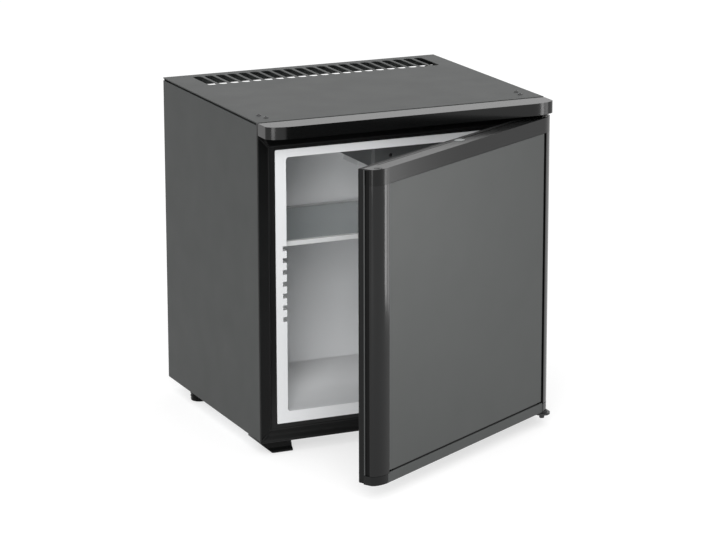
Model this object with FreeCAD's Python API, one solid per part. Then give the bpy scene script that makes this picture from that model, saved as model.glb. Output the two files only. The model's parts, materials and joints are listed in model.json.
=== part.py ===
import FreeCAD, Part
import math
import os
from FreeCAD import Vector

os.makedirs("parts", exist_ok=True)

# A small absorption fridge for a hotel room, with one hinged door.
# Millimetres. X runs to the right, Y to the back and Z up.
# The origin is on the floor, under the middle of the space that the part takes up at rest,
# with its door open.

# Cabinet
cabinet_width = 450.0
cabinet_depth = 371.0
cabinet_height = 488.0
foot_height = 20.0
sheet = 1.0
chimney_depth = 85.0
side_front_return = 12.0
side_rear_return = 14.0
return_clearance = 0.5

# Lid with its row of vent slots
lid_edge = 1.6
lid_seam = 2.9
lid_skirt_inset = 5.0
lid_skirt_depth = 12.0
lid_skirt_end = 10.0
lid_rear_flange = 16.0
slot_count = 21
slot_pitch = 18.35
slot_width = 13.6
slot_length = 70.0
slot_corner = 6.0
slot_rear_margin = 15.5
slot_shift = 5.5
lid_screw_inset = 21.0
lid_screw_rows = (27.0, 46.0)

# Fascia above the door, and the rounded ends that it shares with the door
fascia_reach = 42.0
fascia_height = 19.5
trim_wall = 2.5
nose_width = 28.0
nose_depth = 13.0

# Front frame round the opening
frame_wall = 3.0
frame_band = 17.0
frame_step = 1.5
frame_return = 48.0
frame_return_wall = 2.5

# Inner liner
lip_side = 25.0
lip_top = 41.8
lip_bottom = 24.5
lip_side_width = 19.0
lip_top_width = 11.5
lip_bottom_width = 17.0
lip_corner = 3.0
liner_wall = 2.5
rear_insulation = 43.0
cavity_corner = 4.5
sill_run = 12.0
sill_drop = 3.5
groove_count = 7
groove_pitch = 17.33
groove_height = 9.0
groove_depth = 6.0
groove_rear_gap = 15.0
groove_pad_margin = 6.0
top_groove_drop = 132.1

# Shelf
shelf_setback = 18.0
shelf_rear_gap = 17.0
shelf_edge_clearance = 0.5
shelf_frame_height = 8.4
shelf_side_border = 17.0
shelf_front_border = 16.0
shelf_rebate = 4.0
glass_thickness = 4.0
glass_clearance = 0.2
shelf_bar_height = 9.2
shelf_bar_depth = 8.0
shelf_bar_rise = 2.0

# Door
door_reach = 40.0
door_bottom_gap = 2.5
door_top_gap = 2.5
profile_depth = 24.0
door_rim_depth = 9.0
door_rim_inset = 0.8
top_trim_height = 22.2
bottom_rail_height = 14.5
panel_thickness = 3.0
panel_bottom_gap = 3.0
panel_top_gap = 0.3
panel_hinge_groove = 6.6
panel_groove_depth = 3.5
hinge_profile_land = 5.7
profile_tongue = 10.0
tongue_wall = 2.0
core_sheet = 1.0
end_cap_width = 24.0
end_cap_height = 12.7
end_cap_seam = 0.3
end_cap_gap = 1.0
door_core_inset = 29.0
plug_inset_side = 57.0
plug_inset_bottom = 53.5
plug_inset_top = 46.0
plug_reach = 8.0
plug_corner = 12.0
recess_border = 28.0
recess_depth = 6.0
gasket_inset = 11.0
gasket_width = 13.0
gasket_clearance = 0.3
gasket_corner = 10.0
foam_plug_long = 14.0
foam_plug_short = 10.0
foam_plug_rim = 1.0
foam_plug_rise = 0.8
foam_plug_back = 17.5
magnet_length = 20.0
magnet_width = 8.0
magnet_height = 6.0

# Hinge
hinge_from_side = 13.0
hinge_from_front = 8.0
pin_radius = 3.0
pin_clearance = 0.05
bush_radius = 5.0
bush_length = 13.0
pin_head_radius = 3.8
pin_head_height = 6.5
pin_end_clearance = 1.0
bracket_wall = 3.0
bracket_length = 52.0
bracket_tuck = 44.0
bracket_root = 6.0
tongue_width = 24.0
tongue_joggle = 2.0
washer_radius = 8.0
washer_clearance = 0.3
fascia_pin_clearance = 1.0
stop_screw_radius = 3.2
stop_screw_height = 4.0
stop_screw_dome = 2.0
stop_screw_offset = 8.0
upper_plate_height = 10.0
upper_plate_length = 30.0
upper_plate_inset = 3.0
upper_plate_clearance = 0.5
rest_opening = 30.6

# Feet
front_foot_inner = 49.0
front_foot_slope = 20.0
front_foot_draft = 2.0
front_foot_setback = 0.5
front_foot_back = 40.0
hinge_foot_setback = 4.0
rear_foot_radius = 14.0
rear_foot_inset = 22.0
rear_foot_from_back = 73.0

# Screws
screw_head_radius = 3.4
screw_head_height = 1.2
screw_radius = 1.6
screw_length = 6.0
bracket_screw_inset = 12.0
screw_pocket_clearance = 0.3

# Evaporator group inside, under the ceiling
cover_width = 166.0
cover_right_gap = 9.0
cover_depth = 123.0
cover_height = 56.7
cover_wall = 2.5
cover_chamfer = 4.0
cover_hole_radius = 3.0
cover_hole_offset = 30.0
cover_hole_rise = 16.0
vent_count = 7
vent_pitch = 20.0
vent_width = 5.0
vent_length = 34.0
vent_front = 74.0
sensor_radius = 2.0
sensor_length = 12.0
knob_radius = 11.0
knob_height = 12.0
knob_from_right = 34.0
knob_rise = 28.0
knob_shaft_length = 10.0
knob_clearance = 0.4
knob_grip_width = 4.0
knob_grip_height = 3.0
thermostat_size = 30.0
thermostat_depth = 22.0
thermostat_gap = 0.3
lens_width = 60.0
lens_depth = 26.0
lens_height = 5.0
lens_offset = 46.0
lens_setback = 20.0
fin_count = 18
fin_pitch = 8.0
fin_thickness = 1.2
fin_depth = 35.0
fin_plate_wall = 3.0
fin_plate_width = 142.0
fin_plate_height = 50.0
fin_plate_drop = 3.7
tray_width = 150.0
tray_depth = 53.0
tray_height = 12.0
tray_wall = 1.5
drain_radius = 4.0
drain_bore = 3.0
drain_rise = 5.0
drain_offset = 20.0
drain_setback = 57.0
drain_bend = 14.0

# Cooling unit in the open shaft at the back
unit_gap = 41.0
tube_radius = 8.0
tube_bend = 22.0
inlet_inset = 13.0
inlet_drop = 14.7
condenser_rise = 16.0
boiler_gap = 10.0
boiler_radius = 26.0
boiler_rise = 24.0
boiler_drop = 130.0
boiler_rim = 2.0
heater_radius = 10.0
heater_length = 15.0
exchanger_radius = 11.0
exchanger_bend = 26.0
exchanger_offset = 20.0
exchanger_drop = 40.7
exchanger_side_gap = 32.0
exchanger_gap = 31.0
vessel_radius = 24.0
vessel_rim = 8.0
vessel_rise = 41.0
vessel_from_boiler = 19.0
vessel_from_exchanger = 37.0
vessel_gap = 35.0
coil_rise = 63.0
coil_drop = 41.0
coil_rows = 6
coil_inset = 25.0
coil_from_exchanger = 32.0
coil_straight = 2.0
liquid_pipe_radius = 7.0
condenser_fin_count = 23
condenser_fin_margin = 29.5
condenser_fin_wall = 1.0
condenser_fin_depth = 56.0
condenser_fin_height = 48.0
condenser_fin_drop = 12.0
clamp_wall = 2.0
clamp_height = 20.0
clamp_drop = 90.0
clamp_plate_width = 50.0
arm_width = 6.0
arm_height = 22.0
condenser_arm_inset = 24.0
exchanger_arm_drop = 149.0
strap_width = 14.0
strap_wall = 2.0
saddle_width = 14.0
saddle_depth = 40.0
saddle_inset = 52.0
cup_length = 60.0
cup_depth = 50.0
cup_height = 16.0
cup_wall = 2.0
cup_gap = 3.0
cup_dip = 6.0

# Base panel openings under the shaft
base_opening_side = 55.0
base_opening_gap = 5.0
base_opening_depth = 60.0
base_rib_width = 34.0

# Terminal box and rear crossbar
box_left_gap = 6.0
box_width = 62.0
box_gap = 5.0
box_depth = 48.0
box_height = 80.0
box_wall = 2.5
box_cover_wall = 3.0
gland_radius = 9.0
gland_length = 14.0
gland_bore = 3.5
box_screw_inset = 7.0
crossbar_height = 28.0
crossbar_gap = 0.5

# Light switch in the fascia
switch_length = 25.0
switch_width = 10.0
switch_height = 8.0
switch_from_side = 75.0

overrun = 1.0
round_share = 0.9

# Places worked out from the sizes above
half_width = cabinet_width / 2
swing = math.radians(rest_opening)
swing_arm = cabinet_width - nose_width - hinge_from_side
nose_sweep = math.hypot(nose_width * math.sin(swing), nose_depth * math.cos(swing))
door_lead = door_reach - hinge_from_front + swing_arm * math.sin(swing)
open_reach = door_lead - (nose_depth - hinge_from_front) * math.cos(swing) + nose_sweep
front_y = (open_reach - cabinet_depth) / 2
rear_y = front_y + cabinet_depth
inner_half = half_width - sheet
side_top = cabinet_height - lid_edge - lid_seam
lid_underside = cabinet_height - sheet
fold_bottom = cabinet_height - lid_edge
base_top = foot_height + sheet
frame_bottom = foot_height - frame_return_wall
fascia_bottom = cabinet_height - fascia_height
foam_top = lid_underside - lid_skirt_depth
rear_wall_y = rear_y - chimney_depth
flange_bottom = cabinet_height - lid_rear_flange

lip_half = half_width - lip_side
lip_low = foot_height + lip_bottom
lip_high = cabinet_height - lip_top
cavity_half = lip_half - lip_side_width
cavity_low = lip_low + lip_bottom_width
cavity_high = lip_high - lip_top_width
floor_low = cavity_low - sill_drop
cavity_rear = rear_wall_y - rear_insulation
groove_end = cavity_rear - groove_rear_gap
groove_half = cavity_half + groove_depth
top_groove = cavity_high - top_groove_drop
groove_floor = top_groove - groove_height / 2

door_front = front_y - door_reach
door_low = foot_height + door_bottom_gap
door_high = fascia_bottom - door_top_gap
profile_back = door_front + profile_depth
rim_back = profile_back + door_rim_depth
rail_top = door_low + bottom_rail_height
trim_low = door_high - top_trim_height
panel_low = rail_top + panel_bottom_gap
panel_left = -half_width + nose_width
profile_right = half_width - nose_width + hinge_profile_land
panel_right = profile_right - panel_hinge_groove
panel_back = door_front + panel_thickness
tongue_front = door_front + panel_groove_depth
core_front = tongue_front + tongue_wall
foam_front = core_front + core_sheet
cap_top = door_low + end_cap_height
profile_low = cap_top + end_cap_seam
cap_edge = half_width - end_cap_width

hinge_x = half_width - hinge_from_side
hinge_y = door_front + hinge_from_front
bracket_bottom = frame_bottom - bracket_wall
tongue_bottom = bracket_bottom + tongue_joggle
tongue_top = tongue_bottom + bracket_wall

cover_right = cavity_half - cover_right_gap
cover_left = cover_right - cover_width
cover_front = cavity_rear - cover_depth
cover_bottom = cavity_high - cover_height
knob_x = cover_right - knob_from_right
knob_z = cover_bottom + knob_rise
plate_high = cavity_high - fin_plate_drop
plate_low = plate_high - fin_plate_height
plate_mid = (cover_left + cover_right) / 2
drain_x = plate_mid + drain_offset
drain_z = cover_bottom - tray_height + drain_rise
drain_y = cavity_rear + drain_setback

shaft_y = rear_wall_y + sheet
unit_y = shaft_y + unit_gap
inlet_x = cover_right - inlet_inset
inlet_z = cavity_high - inlet_drop
exchanger_x = plate_mid - exchanger_offset
exchanger_z = cavity_high - exchanger_drop
exchanger_y = shaft_y + exchanger_gap
exchanger_down = inner_half - exchanger_side_gap
box_right = -inner_half + box_left_gap + box_width
boiler_x = box_right + boiler_gap + boiler_radius
boiler_low = base_top + boiler_rise
boiler_top = inlet_z - boiler_drop
vessel_y = shaft_y + vessel_gap
vessel_z = base_top + vessel_rise
vessel_x0 = boiler_x + boiler_radius + vessel_from_boiler
vessel_x1 = exchanger_down - vessel_from_exchanger
coil_x0 = vessel_x0 + coil_inset
coil_x1 = exchanger_down - coil_from_exchanger
coil_low = vessel_z + coil_rise
coil_pitch = (exchanger_z - coil_drop - coil_low) / coil_rows
coil_bend = (coil_pitch - coil_straight) / 2
switch_x = -half_width + switch_from_side


def box(x0, x1, y0, y1, z0, z1):
    return Part.makeBox(x1 - x0, y1 - y0, z1 - z0, Vector(x0, y0, z0))


def post(x, y, z0, z1, radius):
    return Part.makeCylinder(radius, z1 - z0, Vector(x, y, z0), Vector(0, 0, 1))


def bar_y(x, z, y0, y1, radius):
    return Part.makeCylinder(radius, y1 - y0, Vector(x, y0, z), Vector(0, 1, 0))


def fused(shapes):
    whole = shapes[0]
    for shape in shapes[1:]:
        whole = whole.fuse(shape)
    return whole.removeSplitter()


def rounded_outline(u0, u1, v0, v1, radius, point):
    """Closed wire of a rectangle with round corners; point turns (u, v) into a 3-D point."""
    r = radius
    corners = [
        (u1 - r, v0 + r, -90),
        (u1 - r, v1 - r, 0),
        (u0 + r, v1 - r, 90),
        (u0 + r, v0 + r, 180),
    ]
    ends = []
    for u, v, start in corners:
        turn = [math.radians(start + step * 45) for step in range(3)]
        ends.append([point(u + r * math.cos(a), v + r * math.sin(a)) for a in turn])
    edges = []
    for number, arc in enumerate(ends):
        edges.append(Part.Arc(*arc).toShape())
        edges.append(Part.LineSegment(arc[2], ends[(number + 1) % len(ends)][0]).toShape())
    return Part.Wire(edges)


def front_plate(x0, x1, z0, z1, y0, y1, radius):
    """Plate that faces the front, with round corners."""
    wire = rounded_outline(x0, x1, z0, z1, radius, lambda u, v: Vector(u, y0, v))
    return Part.Face(wire).extrude(Vector(0, y1 - y0, 0))


def floor_plate(x0, x1, y0, y1, z0, z1, radius):
    """Flat plate with round corners."""
    wire = rounded_outline(x0, x1, y0, y1, radius, lambda u, v: Vector(u, v, z0))
    return Part.Face(wire).extrude(Vector(0, 0, z1 - z0))


def nose_block(front, back, z0, z1, inset):
    """Bar across the full width whose two front ends are quarter ellipses, drawn in by inset."""
    half = half_width - inset
    flat = half_width - nose_width
    long = nose_width - inset
    short = nose_depth - inset
    turn_y = front + nose_depth
    edges = []
    left = Part.Ellipse(Vector(-flat, turn_y, z0), long, short)
    right = Part.Ellipse(Vector(flat, turn_y, z0), long, short)
    a = Vector(-half, back, z0)
    b = Vector(-half, turn_y, z0)
    c = Vector(-flat, turn_y - short, z0)
    d = Vector(flat, turn_y - short, z0)
    e = Vector(half, turn_y, z0)
    f = Vector(half, back, z0)
    edges.append(Part.LineSegment(a, b).toShape())
    edges.append(Part.ArcOfEllipse(left, math.pi, math.pi * 3 / 2).toShape())
    edges.append(Part.LineSegment(c, d).toShape())
    edges.append(Part.ArcOfEllipse(right, math.pi * 3 / 2, math.pi * 2).toShape())
    edges.append(Part.LineSegment(e, f).toShape())
    edges.append(Part.LineSegment(f, a).toShape())
    return Part.Face(Part.Wire(edges)).extrude(Vector(0, 0, z1 - z0))


def bent_path(points, bend):
    """Wire of straight runs joined by tangent arcs of one radius."""
    edges = []
    start = points[0]
    for before, corner, after in zip(points, points[1:], points[2:]):
        inward = (before - corner).normalize()
        outward = (after - corner).normalize()
        half_turn = inward.getAngle(outward) / 2
        reach = bend / math.tan(half_turn)
        first = corner + inward * reach
        last = corner + outward * reach
        middle_way = (inward + outward).normalize()
        middle = corner + middle_way * (bend / math.sin(half_turn) - bend)
        if (first - start).Length > overrun / 100:
            edges.append(Part.LineSegment(start, first).toShape())
        edges.append(Part.Arc(first, middle, last).toShape())
        start = last
    edges.append(Part.LineSegment(start, points[-1]).toShape())
    return Part.Wire(edges)


def tube(points, radius, bend):
    """Round bar along a bent path."""
    path = bent_path(points, bend)
    way = points[1] - points[0]
    ring = Part.Wire(Part.Circle(points[0], way, radius).toShape())
    return path.makePipeShell([ring], True, False)


def screw(x, y, z, way):
    """Pan-head screw; its head stands on the point and its shank runs against way."""
    foot = Vector(x, y, z)
    head = Part.makeCylinder(screw_head_radius, screw_head_height, foot, way)
    shank = Part.makeCylinder(screw_radius, screw_length, foot, way * -1)
    return fused([head, shank])


def side_panel(side):
    """Sheet side with its returns at the front and the back; side is -1 left, 1 right."""
    outer = side * half_width
    inner = side * inner_half
    skin = box(min(outer, inner), max(outer, inner), front_y, rear_y, foot_height, side_top)
    lip_x = side * (inner_half - side_front_return)
    back_x = side * (inner_half - side_rear_return)
    frame_back = front_y + frame_wall
    front = box(min(inner, lip_x), max(inner, lip_x), frame_back, frame_back + sheet, base_top, foam_top)
    rear_high = flange_bottom - return_clearance
    rear = box(min(inner, back_x), max(inner, back_x), rear_y - sheet, rear_y, base_top, rear_high)
    return fused([skin, front, rear])


def lid_screw_places():
    x = half_width - lid_screw_inset
    return [(side * x, front_y + row) for side in (-1, 1) for row in lid_screw_rows]


def lid_screws():
    top = cabinet_height
    return Part.Compound([screw(x, y, top, Vector(0, 0, 1)) for x, y in lid_screw_places()])


def top_panel():
    plate = box(-half_width, half_width, front_y, rear_y, lid_underside, cabinet_height)
    rim = box(-half_width, half_width, front_y, rear_y, fold_bottom, lid_underside)
    rim = rim.cut(box(-inner_half, inner_half, front_y + sheet, rear_y - sheet, fold_bottom, lid_underside))
    skirt_out = half_width - lid_skirt_inset
    skirts = []
    for side in (-1, 1):
        ends = sorted((side * skirt_out, side * (skirt_out - sheet)))
        low = lid_underside - lid_skirt_depth
        y0 = front_y + lid_skirt_end
        y1 = rear_y - lid_skirt_end
        skirts.append(box(ends[0], ends[1], y0, y1, low, lid_underside))
    flange_half = inner_half - return_clearance
    flange = box(-flange_half, flange_half, rear_y - sheet, rear_y, flange_bottom, lid_underside)
    lid = fused([plate, rim] + skirts + [flange])
    slot_rear = rear_y - slot_rear_margin
    slot_front = slot_rear - slot_length
    first = slot_shift - slot_pitch * (slot_count - 1) / 2
    low = lid_underside - overrun
    high = cabinet_height + overrun
    for number in range(slot_count):
        x = first + number * slot_pitch
        half = slot_width / 2
        lid = lid.cut(floor_plate(x - half, x + half, slot_front, slot_rear, low, high, slot_corner))
    for x, y in lid_screw_places():
        lid = lid.cut(post(x, y, low, high, screw_radius))
    return lid


def top_fascia():
    front = front_y - fascia_reach
    outer = nose_block(front, front_y, fascia_bottom, cabinet_height, 0)
    low = fascia_bottom + trim_wall
    high = cabinet_height - trim_wall
    inner = nose_block(front, front_y + overrun, low, high, trim_wall)
    shell = outer.cut(inner)
    hole = pin_radius + fascia_pin_clearance
    return shell.cut(post(hinge_x, hinge_y, fascia_bottom - overrun, low + overrun, hole))


def front_frame():
    back = front_y + frame_wall
    ring = box(-inner_half, inner_half, front_y, back, foot_height, fold_bottom)
    low_return = box(-half_width, half_width, front_y, front_y + frame_return, frame_bottom, foot_height)
    frame = fused([ring, low_return])
    ends = (front_y - overrun, back + overrun)
    mouth = front_plate(-lip_half, lip_half, lip_low, lip_high, ends[0], ends[1], lip_corner)
    band_half = half_width - frame_band
    band_low = foot_height + frame_band
    band_high = fascia_bottom - frame_band
    step = front_y + frame_step
    recess = front_plate(-band_half, band_half, band_low, band_high, front_y - overrun, step, lip_corner)
    return frame.cut(recess).cut(mouth)


def groove_levels():
    return [top_groove - number * groove_pitch for number in range(groove_count)]


def liner_envelope():
    """Outer shape of the liner behind the frame, which the insulation goes round."""
    low = floor_low - liner_wall
    high = cavity_high + liner_wall
    half = cavity_half + liner_wall
    rear = cavity_rear + liner_wall
    corner = cavity_corner + liner_wall
    tub = front_plate(-half, half, low, high, front_y, rear, corner)
    pad_half = groove_half + liner_wall
    levels = groove_levels()
    pad_low = min(levels) - groove_height / 2 - groove_pad_margin
    pad_high = max(levels) + groove_height / 2 + groove_pad_margin
    pads = box(-pad_half, pad_half, front_y, groove_end + liner_wall, pad_low, pad_high)
    return tub, pads


def wall_holes(y0, y1):
    """The two refrigerant tubes and the drain, where they pass through the back of the box."""
    return [
        bar_y(inlet_x, inlet_z, y0, y1, tube_radius),
        bar_y(exchanger_x, exchanger_z, y0, y1, exchanger_radius),
        bar_y(drain_x, drain_z, y0, y1, drain_radius),
    ]


def inner_liner():
    tub, pads = liner_envelope()
    back = front_y + frame_wall
    lip = front_plate(-lip_half, lip_half, lip_low, lip_high, front_y, back, lip_corner)
    liner = fused([tub, pads, lip])
    half = cavity_half
    mouth_y = front_y - overrun
    cavity = front_plate(-half, half, cavity_low, cavity_high, mouth_y, cavity_rear, cavity_corner)
    sill_y = front_y + sill_run
    floor = front_plate(-half, half, floor_low, cavity_high, sill_y, cavity_rear, cavity_corner)
    liner = liner.cut(cavity).cut(floor)
    for level in groove_levels():
        low = level - groove_height / 2
        liner = liner.cut(box(-groove_half, groove_half, mouth_y, groove_end, low, low + groove_height))
    for hole in wall_holes(cavity_rear - overrun, cavity_rear + liner_wall + overrun):
        liner = liner.cut(hole)
    return liner


def insulation():
    block = box(-inner_half, inner_half, front_y + frame_wall, rear_wall_y, base_top, foam_top)
    for shape in liner_envelope():
        block = block.cut(shape)
    for side in (-1, 1):
        block = block.cut(side_panel(side))
    for hole in wall_holes(front_y, rear_y):
        block = block.cut(hole)
    return block


def rear_wall():
    wall = box(-inner_half, inner_half, rear_wall_y, rear_wall_y + sheet, base_top, foam_top)
    for hole in wall_holes(front_y, rear_y):
        wall = wall.cut(hole)
    return wall


def base_panel():
    panel = box(-inner_half, inner_half, front_y + frame_wall, rear_y, foot_height, base_top)
    y0 = shaft_y + base_opening_gap
    y1 = y0 + base_opening_depth
    left_rib, right_rib = [x - base_rib_width / 2 for x in saddle_places()]
    opening_half = half_width - base_opening_side
    spans = [
        (-opening_half, left_rib),
        (left_rib + base_rib_width, right_rib),
        (right_rib + base_rib_width, opening_half),
    ]
    for x0, x1 in spans:
        panel = panel.cut(box(x0, x1, y0, y1, foot_height - overrun, base_top + overrun))
    return panel


def shelf_frame():
    half = groove_half - shelf_edge_clearance
    y0 = front_y + shelf_setback
    y1 = cavity_rear - shelf_rear_gap
    low = groove_floor
    high = low + shelf_frame_height
    ring = box(-half, half, y0, y1, low, high)
    hole_half = half - shelf_side_border
    hole_y0 = y0 + shelf_front_border
    hole_y1 = y1 - shelf_front_border
    hole = box(-hole_half, hole_half, hole_y0, hole_y1, low - overrun, high + overrun)
    rebate_half = hole_half + shelf_rebate
    grow = shelf_front_border - shelf_rebate
    rebate = box(-rebate_half, rebate_half, y0 + grow, y1 - grow, high - glass_thickness, high + overrun)
    bar_half = cavity_half - shelf_edge_clearance
    bar_low = low + shelf_bar_rise
    bar = box(-bar_half, bar_half, y0, y0 + shelf_bar_depth, bar_low, bar_low + shelf_bar_height)
    return fused([ring.cut(hole).cut(rebate), bar])


def shelf_glass():
    half = groove_half - shelf_edge_clearance - shelf_side_border + shelf_rebate - glass_clearance
    inset = shelf_front_border - shelf_rebate + glass_clearance
    y0 = front_y + shelf_setback + inset
    y1 = cavity_rear - shelf_rear_gap - inset
    high = groove_floor + shelf_frame_height
    return box(-half, half, y0, y1, high - glass_thickness, high)


def evaporator_cover():
    shell = box(cover_left, cover_right, cover_front, cavity_rear, cover_bottom, cavity_high)
    inner_left = cover_left + cover_wall
    inner_right = cover_right - cover_wall
    inner_front = cover_front + cover_wall
    inner_low = cover_bottom + cover_wall
    open_back = cavity_rear + overrun
    room = box(inner_left, inner_right, inner_front, open_back, inner_low, cavity_high + overrun)
    corner = [
        Vector(cover_left - overrun, cover_front - overrun, cover_bottom - overrun),
        Vector(cover_left + cover_chamfer + overrun, cover_front - overrun, cover_bottom - overrun),
        Vector(cover_left - overrun, cover_front + cover_chamfer + overrun, cover_bottom - overrun),
    ]
    rise = Vector(0, 0, cover_height + overrun * 2)
    wedge = Part.Face(Part.makePolygon(corner + corner[:1])).extrude(rise)
    move = Vector(cover_wall, cover_wall, 0)
    inner_wedge = wedge.copy()
    inner_wedge.translate(move)
    cover = shell.cut(wedge).cut(room.cut(inner_wedge))
    hole_x = cover_left + cover_hole_offset
    hole_z = cover_bottom + cover_hole_rise
    ends = (cover_front - overrun, inner_front + overrun)
    cover = cover.cut(bar_y(hole_x, hole_z, ends[0], ends[1], cover_hole_radius))
    cover = cover.cut(bar_y(knob_x, knob_z, ends[0], ends[1], pin_radius + pin_clearance))
    first = plate_mid - vent_pitch * (vent_count - 1) / 2
    for number in range(vent_count):
        x = first + number * vent_pitch
        y0 = cover_front + vent_front
        slot = box(x, x + vent_width, y0, y0 + vent_length, cover_bottom - overrun, inner_low + overrun)
        cover = cover.cut(slot)
    return cover.cut(lens_block(overrun))


def lens_block(extra):
    x0 = cover_left + lens_offset
    y0 = cover_front + lens_setback
    low = cover_bottom - lens_height / 2
    return box(x0, x0 + lens_width, y0, y0 + lens_depth, low, low + lens_height + extra)


def lamp_lens():
    rim = cover_wall / 2
    dome = lens_block(0)
    low = cover_bottom - lens_height / 2
    x0 = cover_left + lens_offset
    y0 = cover_front + lens_setback
    bevel = rim
    bottom = [edge for edge in dome.Edges if abs(edge.CenterOfMass.z - low) < overrun / 100]
    dome = dome.makeChamfer(bevel, bottom)
    x1 = x0 + lens_width
    y1 = y0 + lens_depth
    high = low + lens_height + overrun
    return dome.cut(box(x0 + rim, x1 - rim, y0 + rim, y1 - rim, cover_bottom, high))


def temperature_sensor():
    x = cover_left + cover_hole_offset
    z = cover_bottom + cover_hole_rise
    tip = cover_front + cover_wall / 2
    bulb = bar_y(x, z, tip, tip + sensor_length, sensor_radius)
    collar = bar_y(x, z, cover_front + cover_wall, tip + sensor_length, cover_hole_radius + sensor_radius)
    return fused([bulb, collar])


def thermostat():
    half = thermostat_size / 2
    y0 = cover_front + cover_wall
    body = box(knob_x - half, knob_x + half, y0, y0 + thermostat_depth, knob_z - half, cavity_high)
    bore = bar_y(knob_x, knob_z, y0 - overrun, y0 + knob_shaft_length, pin_radius + thermostat_gap)
    return body.cut(bore)


def thermostat_knob():
    front = cover_front - knob_clearance - knob_height
    back = cover_front - knob_clearance
    disc = bar_y(knob_x, knob_z, front, back, knob_radius)
    face = [edge for edge in disc.Edges if edge.Closed and edge.CenterOfMass.y < front + overrun]
    disc = disc.makeFillet(knob_grip_width / 2, face)
    shaft = bar_y(knob_x, knob_z, back, cover_front + knob_shaft_length, pin_radius)
    half = knob_grip_width / 2
    reach = knob_radius - knob_grip_width / 2
    tip = front - knob_grip_height
    grip = box(knob_x - half, knob_x + half, tip, front + overrun, knob_z - reach, knob_z + reach)
    return fused([disc, shaft, grip])


def evaporator():
    half = fin_plate_width / 2
    plate_front = cavity_rear - fin_plate_wall
    plate = box(plate_mid - half, plate_mid + half, plate_front, cavity_rear, plate_low, plate_high)
    fins = []
    first = plate_mid - fin_pitch * (fin_count - 1) / 2 - fin_thickness / 2
    for number in range(fin_count):
        x = first + number * fin_pitch
        fins.append(box(x, x + fin_thickness, plate_front - fin_depth, plate_front, plate_low, plate_high))
    return fused([plate] + fins)


def drip_tray():
    half = tray_width / 2
    y0 = cavity_rear - tray_depth
    low = cover_bottom - tray_height
    outer = box(plate_mid - half, plate_mid + half, y0, cavity_rear, low, cover_bottom)
    inner = box(
        plate_mid - half + tray_wall,
        plate_mid + half - tray_wall,
        y0 + tray_wall,
        cavity_rear - tray_wall,
        low + tray_wall,
        cover_bottom + overrun,
    )
    hole = bar_y(drain_x, drain_z, cavity_rear - tray_wall - overrun, cavity_rear + overrun, drain_bore)
    return outer.cut(inner).cut(hole)


def drain_tube():
    cup_low = vessel_z + vessel_radius + cup_dip
    points = [
        Vector(drain_x, cavity_rear, drain_z),
        Vector(drain_x, drain_y, drain_z),
        Vector(drain_x, drain_y, cup_low),
    ]
    outer = tube(points, drain_radius, drain_bend)
    inner = tube(points, drain_bore, drain_bend)
    return outer.cut(inner)


def drain_cup():
    x0 = drain_x - cup_length / 2
    y0 = shaft_y + cup_gap
    low = vessel_z + vessel_radius - cup_wall
    outer = box(x0, x0 + cup_length, y0, y0 + cup_depth, low, low + cup_height)
    inner = box(
        x0 + cup_wall,
        x0 + cup_length - cup_wall,
        y0 + cup_wall,
        y0 + cup_depth - cup_wall,
        low + cup_wall * 2,
        low + cup_height + overrun,
    )
    return outer.cut(inner).cut(absorber_vessel())


def absorber_vessel():
    start = Vector(vessel_x0, vessel_y, vessel_z)
    body = Part.makeCylinder(vessel_radius, vessel_x1 - vessel_x0, start, Vector(1, 0, 0))
    rims = [edge for edge in body.Edges if edge.Closed]
    return body.makeFillet(vessel_rim, rims)


def condenser_tube():
    points = [
        Vector(inlet_x, cavity_rear, inlet_z),
        Vector(inlet_x, unit_y, inlet_z),
        Vector(boiler_x, unit_y, inlet_z + condenser_rise),
        Vector(boiler_x, unit_y, boiler_top),
    ]
    return tube(points, tube_radius, tube_bend)


def condenser_fins():
    pipe = condenser_tube()
    fins = []
    half = condenser_fin_depth / 2
    low = inlet_z - condenser_fin_drop
    first = boiler_x + condenser_fin_margin
    pitch = (inlet_x - condenser_fin_margin - first) / (condenser_fin_count - 1)
    for number in range(condenser_fin_count):
        x = first + number * pitch
        x1 = x + condenser_fin_wall
        fin = box(x, x1, unit_y - half, unit_y + half, low, low + condenser_fin_height)
        fins.append(fin.cut(pipe))
    return Part.Compound(fins)


def gas_exchanger():
    points = [
        Vector(exchanger_x, cavity_rear, exchanger_z),
        Vector(exchanger_x, exchanger_y, exchanger_z),
        Vector(exchanger_down, exchanger_y, exchanger_z),
        Vector(exchanger_down, exchanger_y, vessel_z),
        Vector(vessel_x1 - vessel_radius, exchanger_y, vessel_z),
    ]
    return tube(points, exchanger_radius, exchanger_bend).cut(absorber_vessel())


def absorber_coil():
    points = [Vector(coil_x0, unit_y, vessel_z)]
    for row in range(coil_rows):
        z = coil_low + row * coil_pitch
        ends = [Vector(coil_x0, unit_y, z), Vector(coil_x1, unit_y, z)]
        if row % 2:
            ends.reverse()
        points.extend(ends)
    turn = points[-1]
    points.append(turn + Vector(0, 0, coil_pitch))
    points.append(Vector(exchanger_down, unit_y, turn.z + coil_pitch))
    coil = tube(points, tube_radius, coil_bend)
    return coil.cut(absorber_vessel()).cut(gas_exchanger())


def boiler_casing():
    body = post(boiler_x, unit_y, boiler_low, boiler_top, boiler_radius)
    rims = [edge for edge in body.Edges if edge.Closed]
    return body.makeFillet(boiler_rim, rims)


def boiler_heater():
    return post(boiler_x, unit_y, boiler_low - heater_length, boiler_low, heater_radius)


def liquid_pipe():
    points = [
        Vector(vessel_x0 + vessel_radius, vessel_y, vessel_z),
        Vector(boiler_x, vessel_y, vessel_z),
    ]
    pipe = tube(points, liquid_pipe_radius, tube_bend)
    return pipe.cut(absorber_vessel()).cut(boiler_casing())


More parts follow.
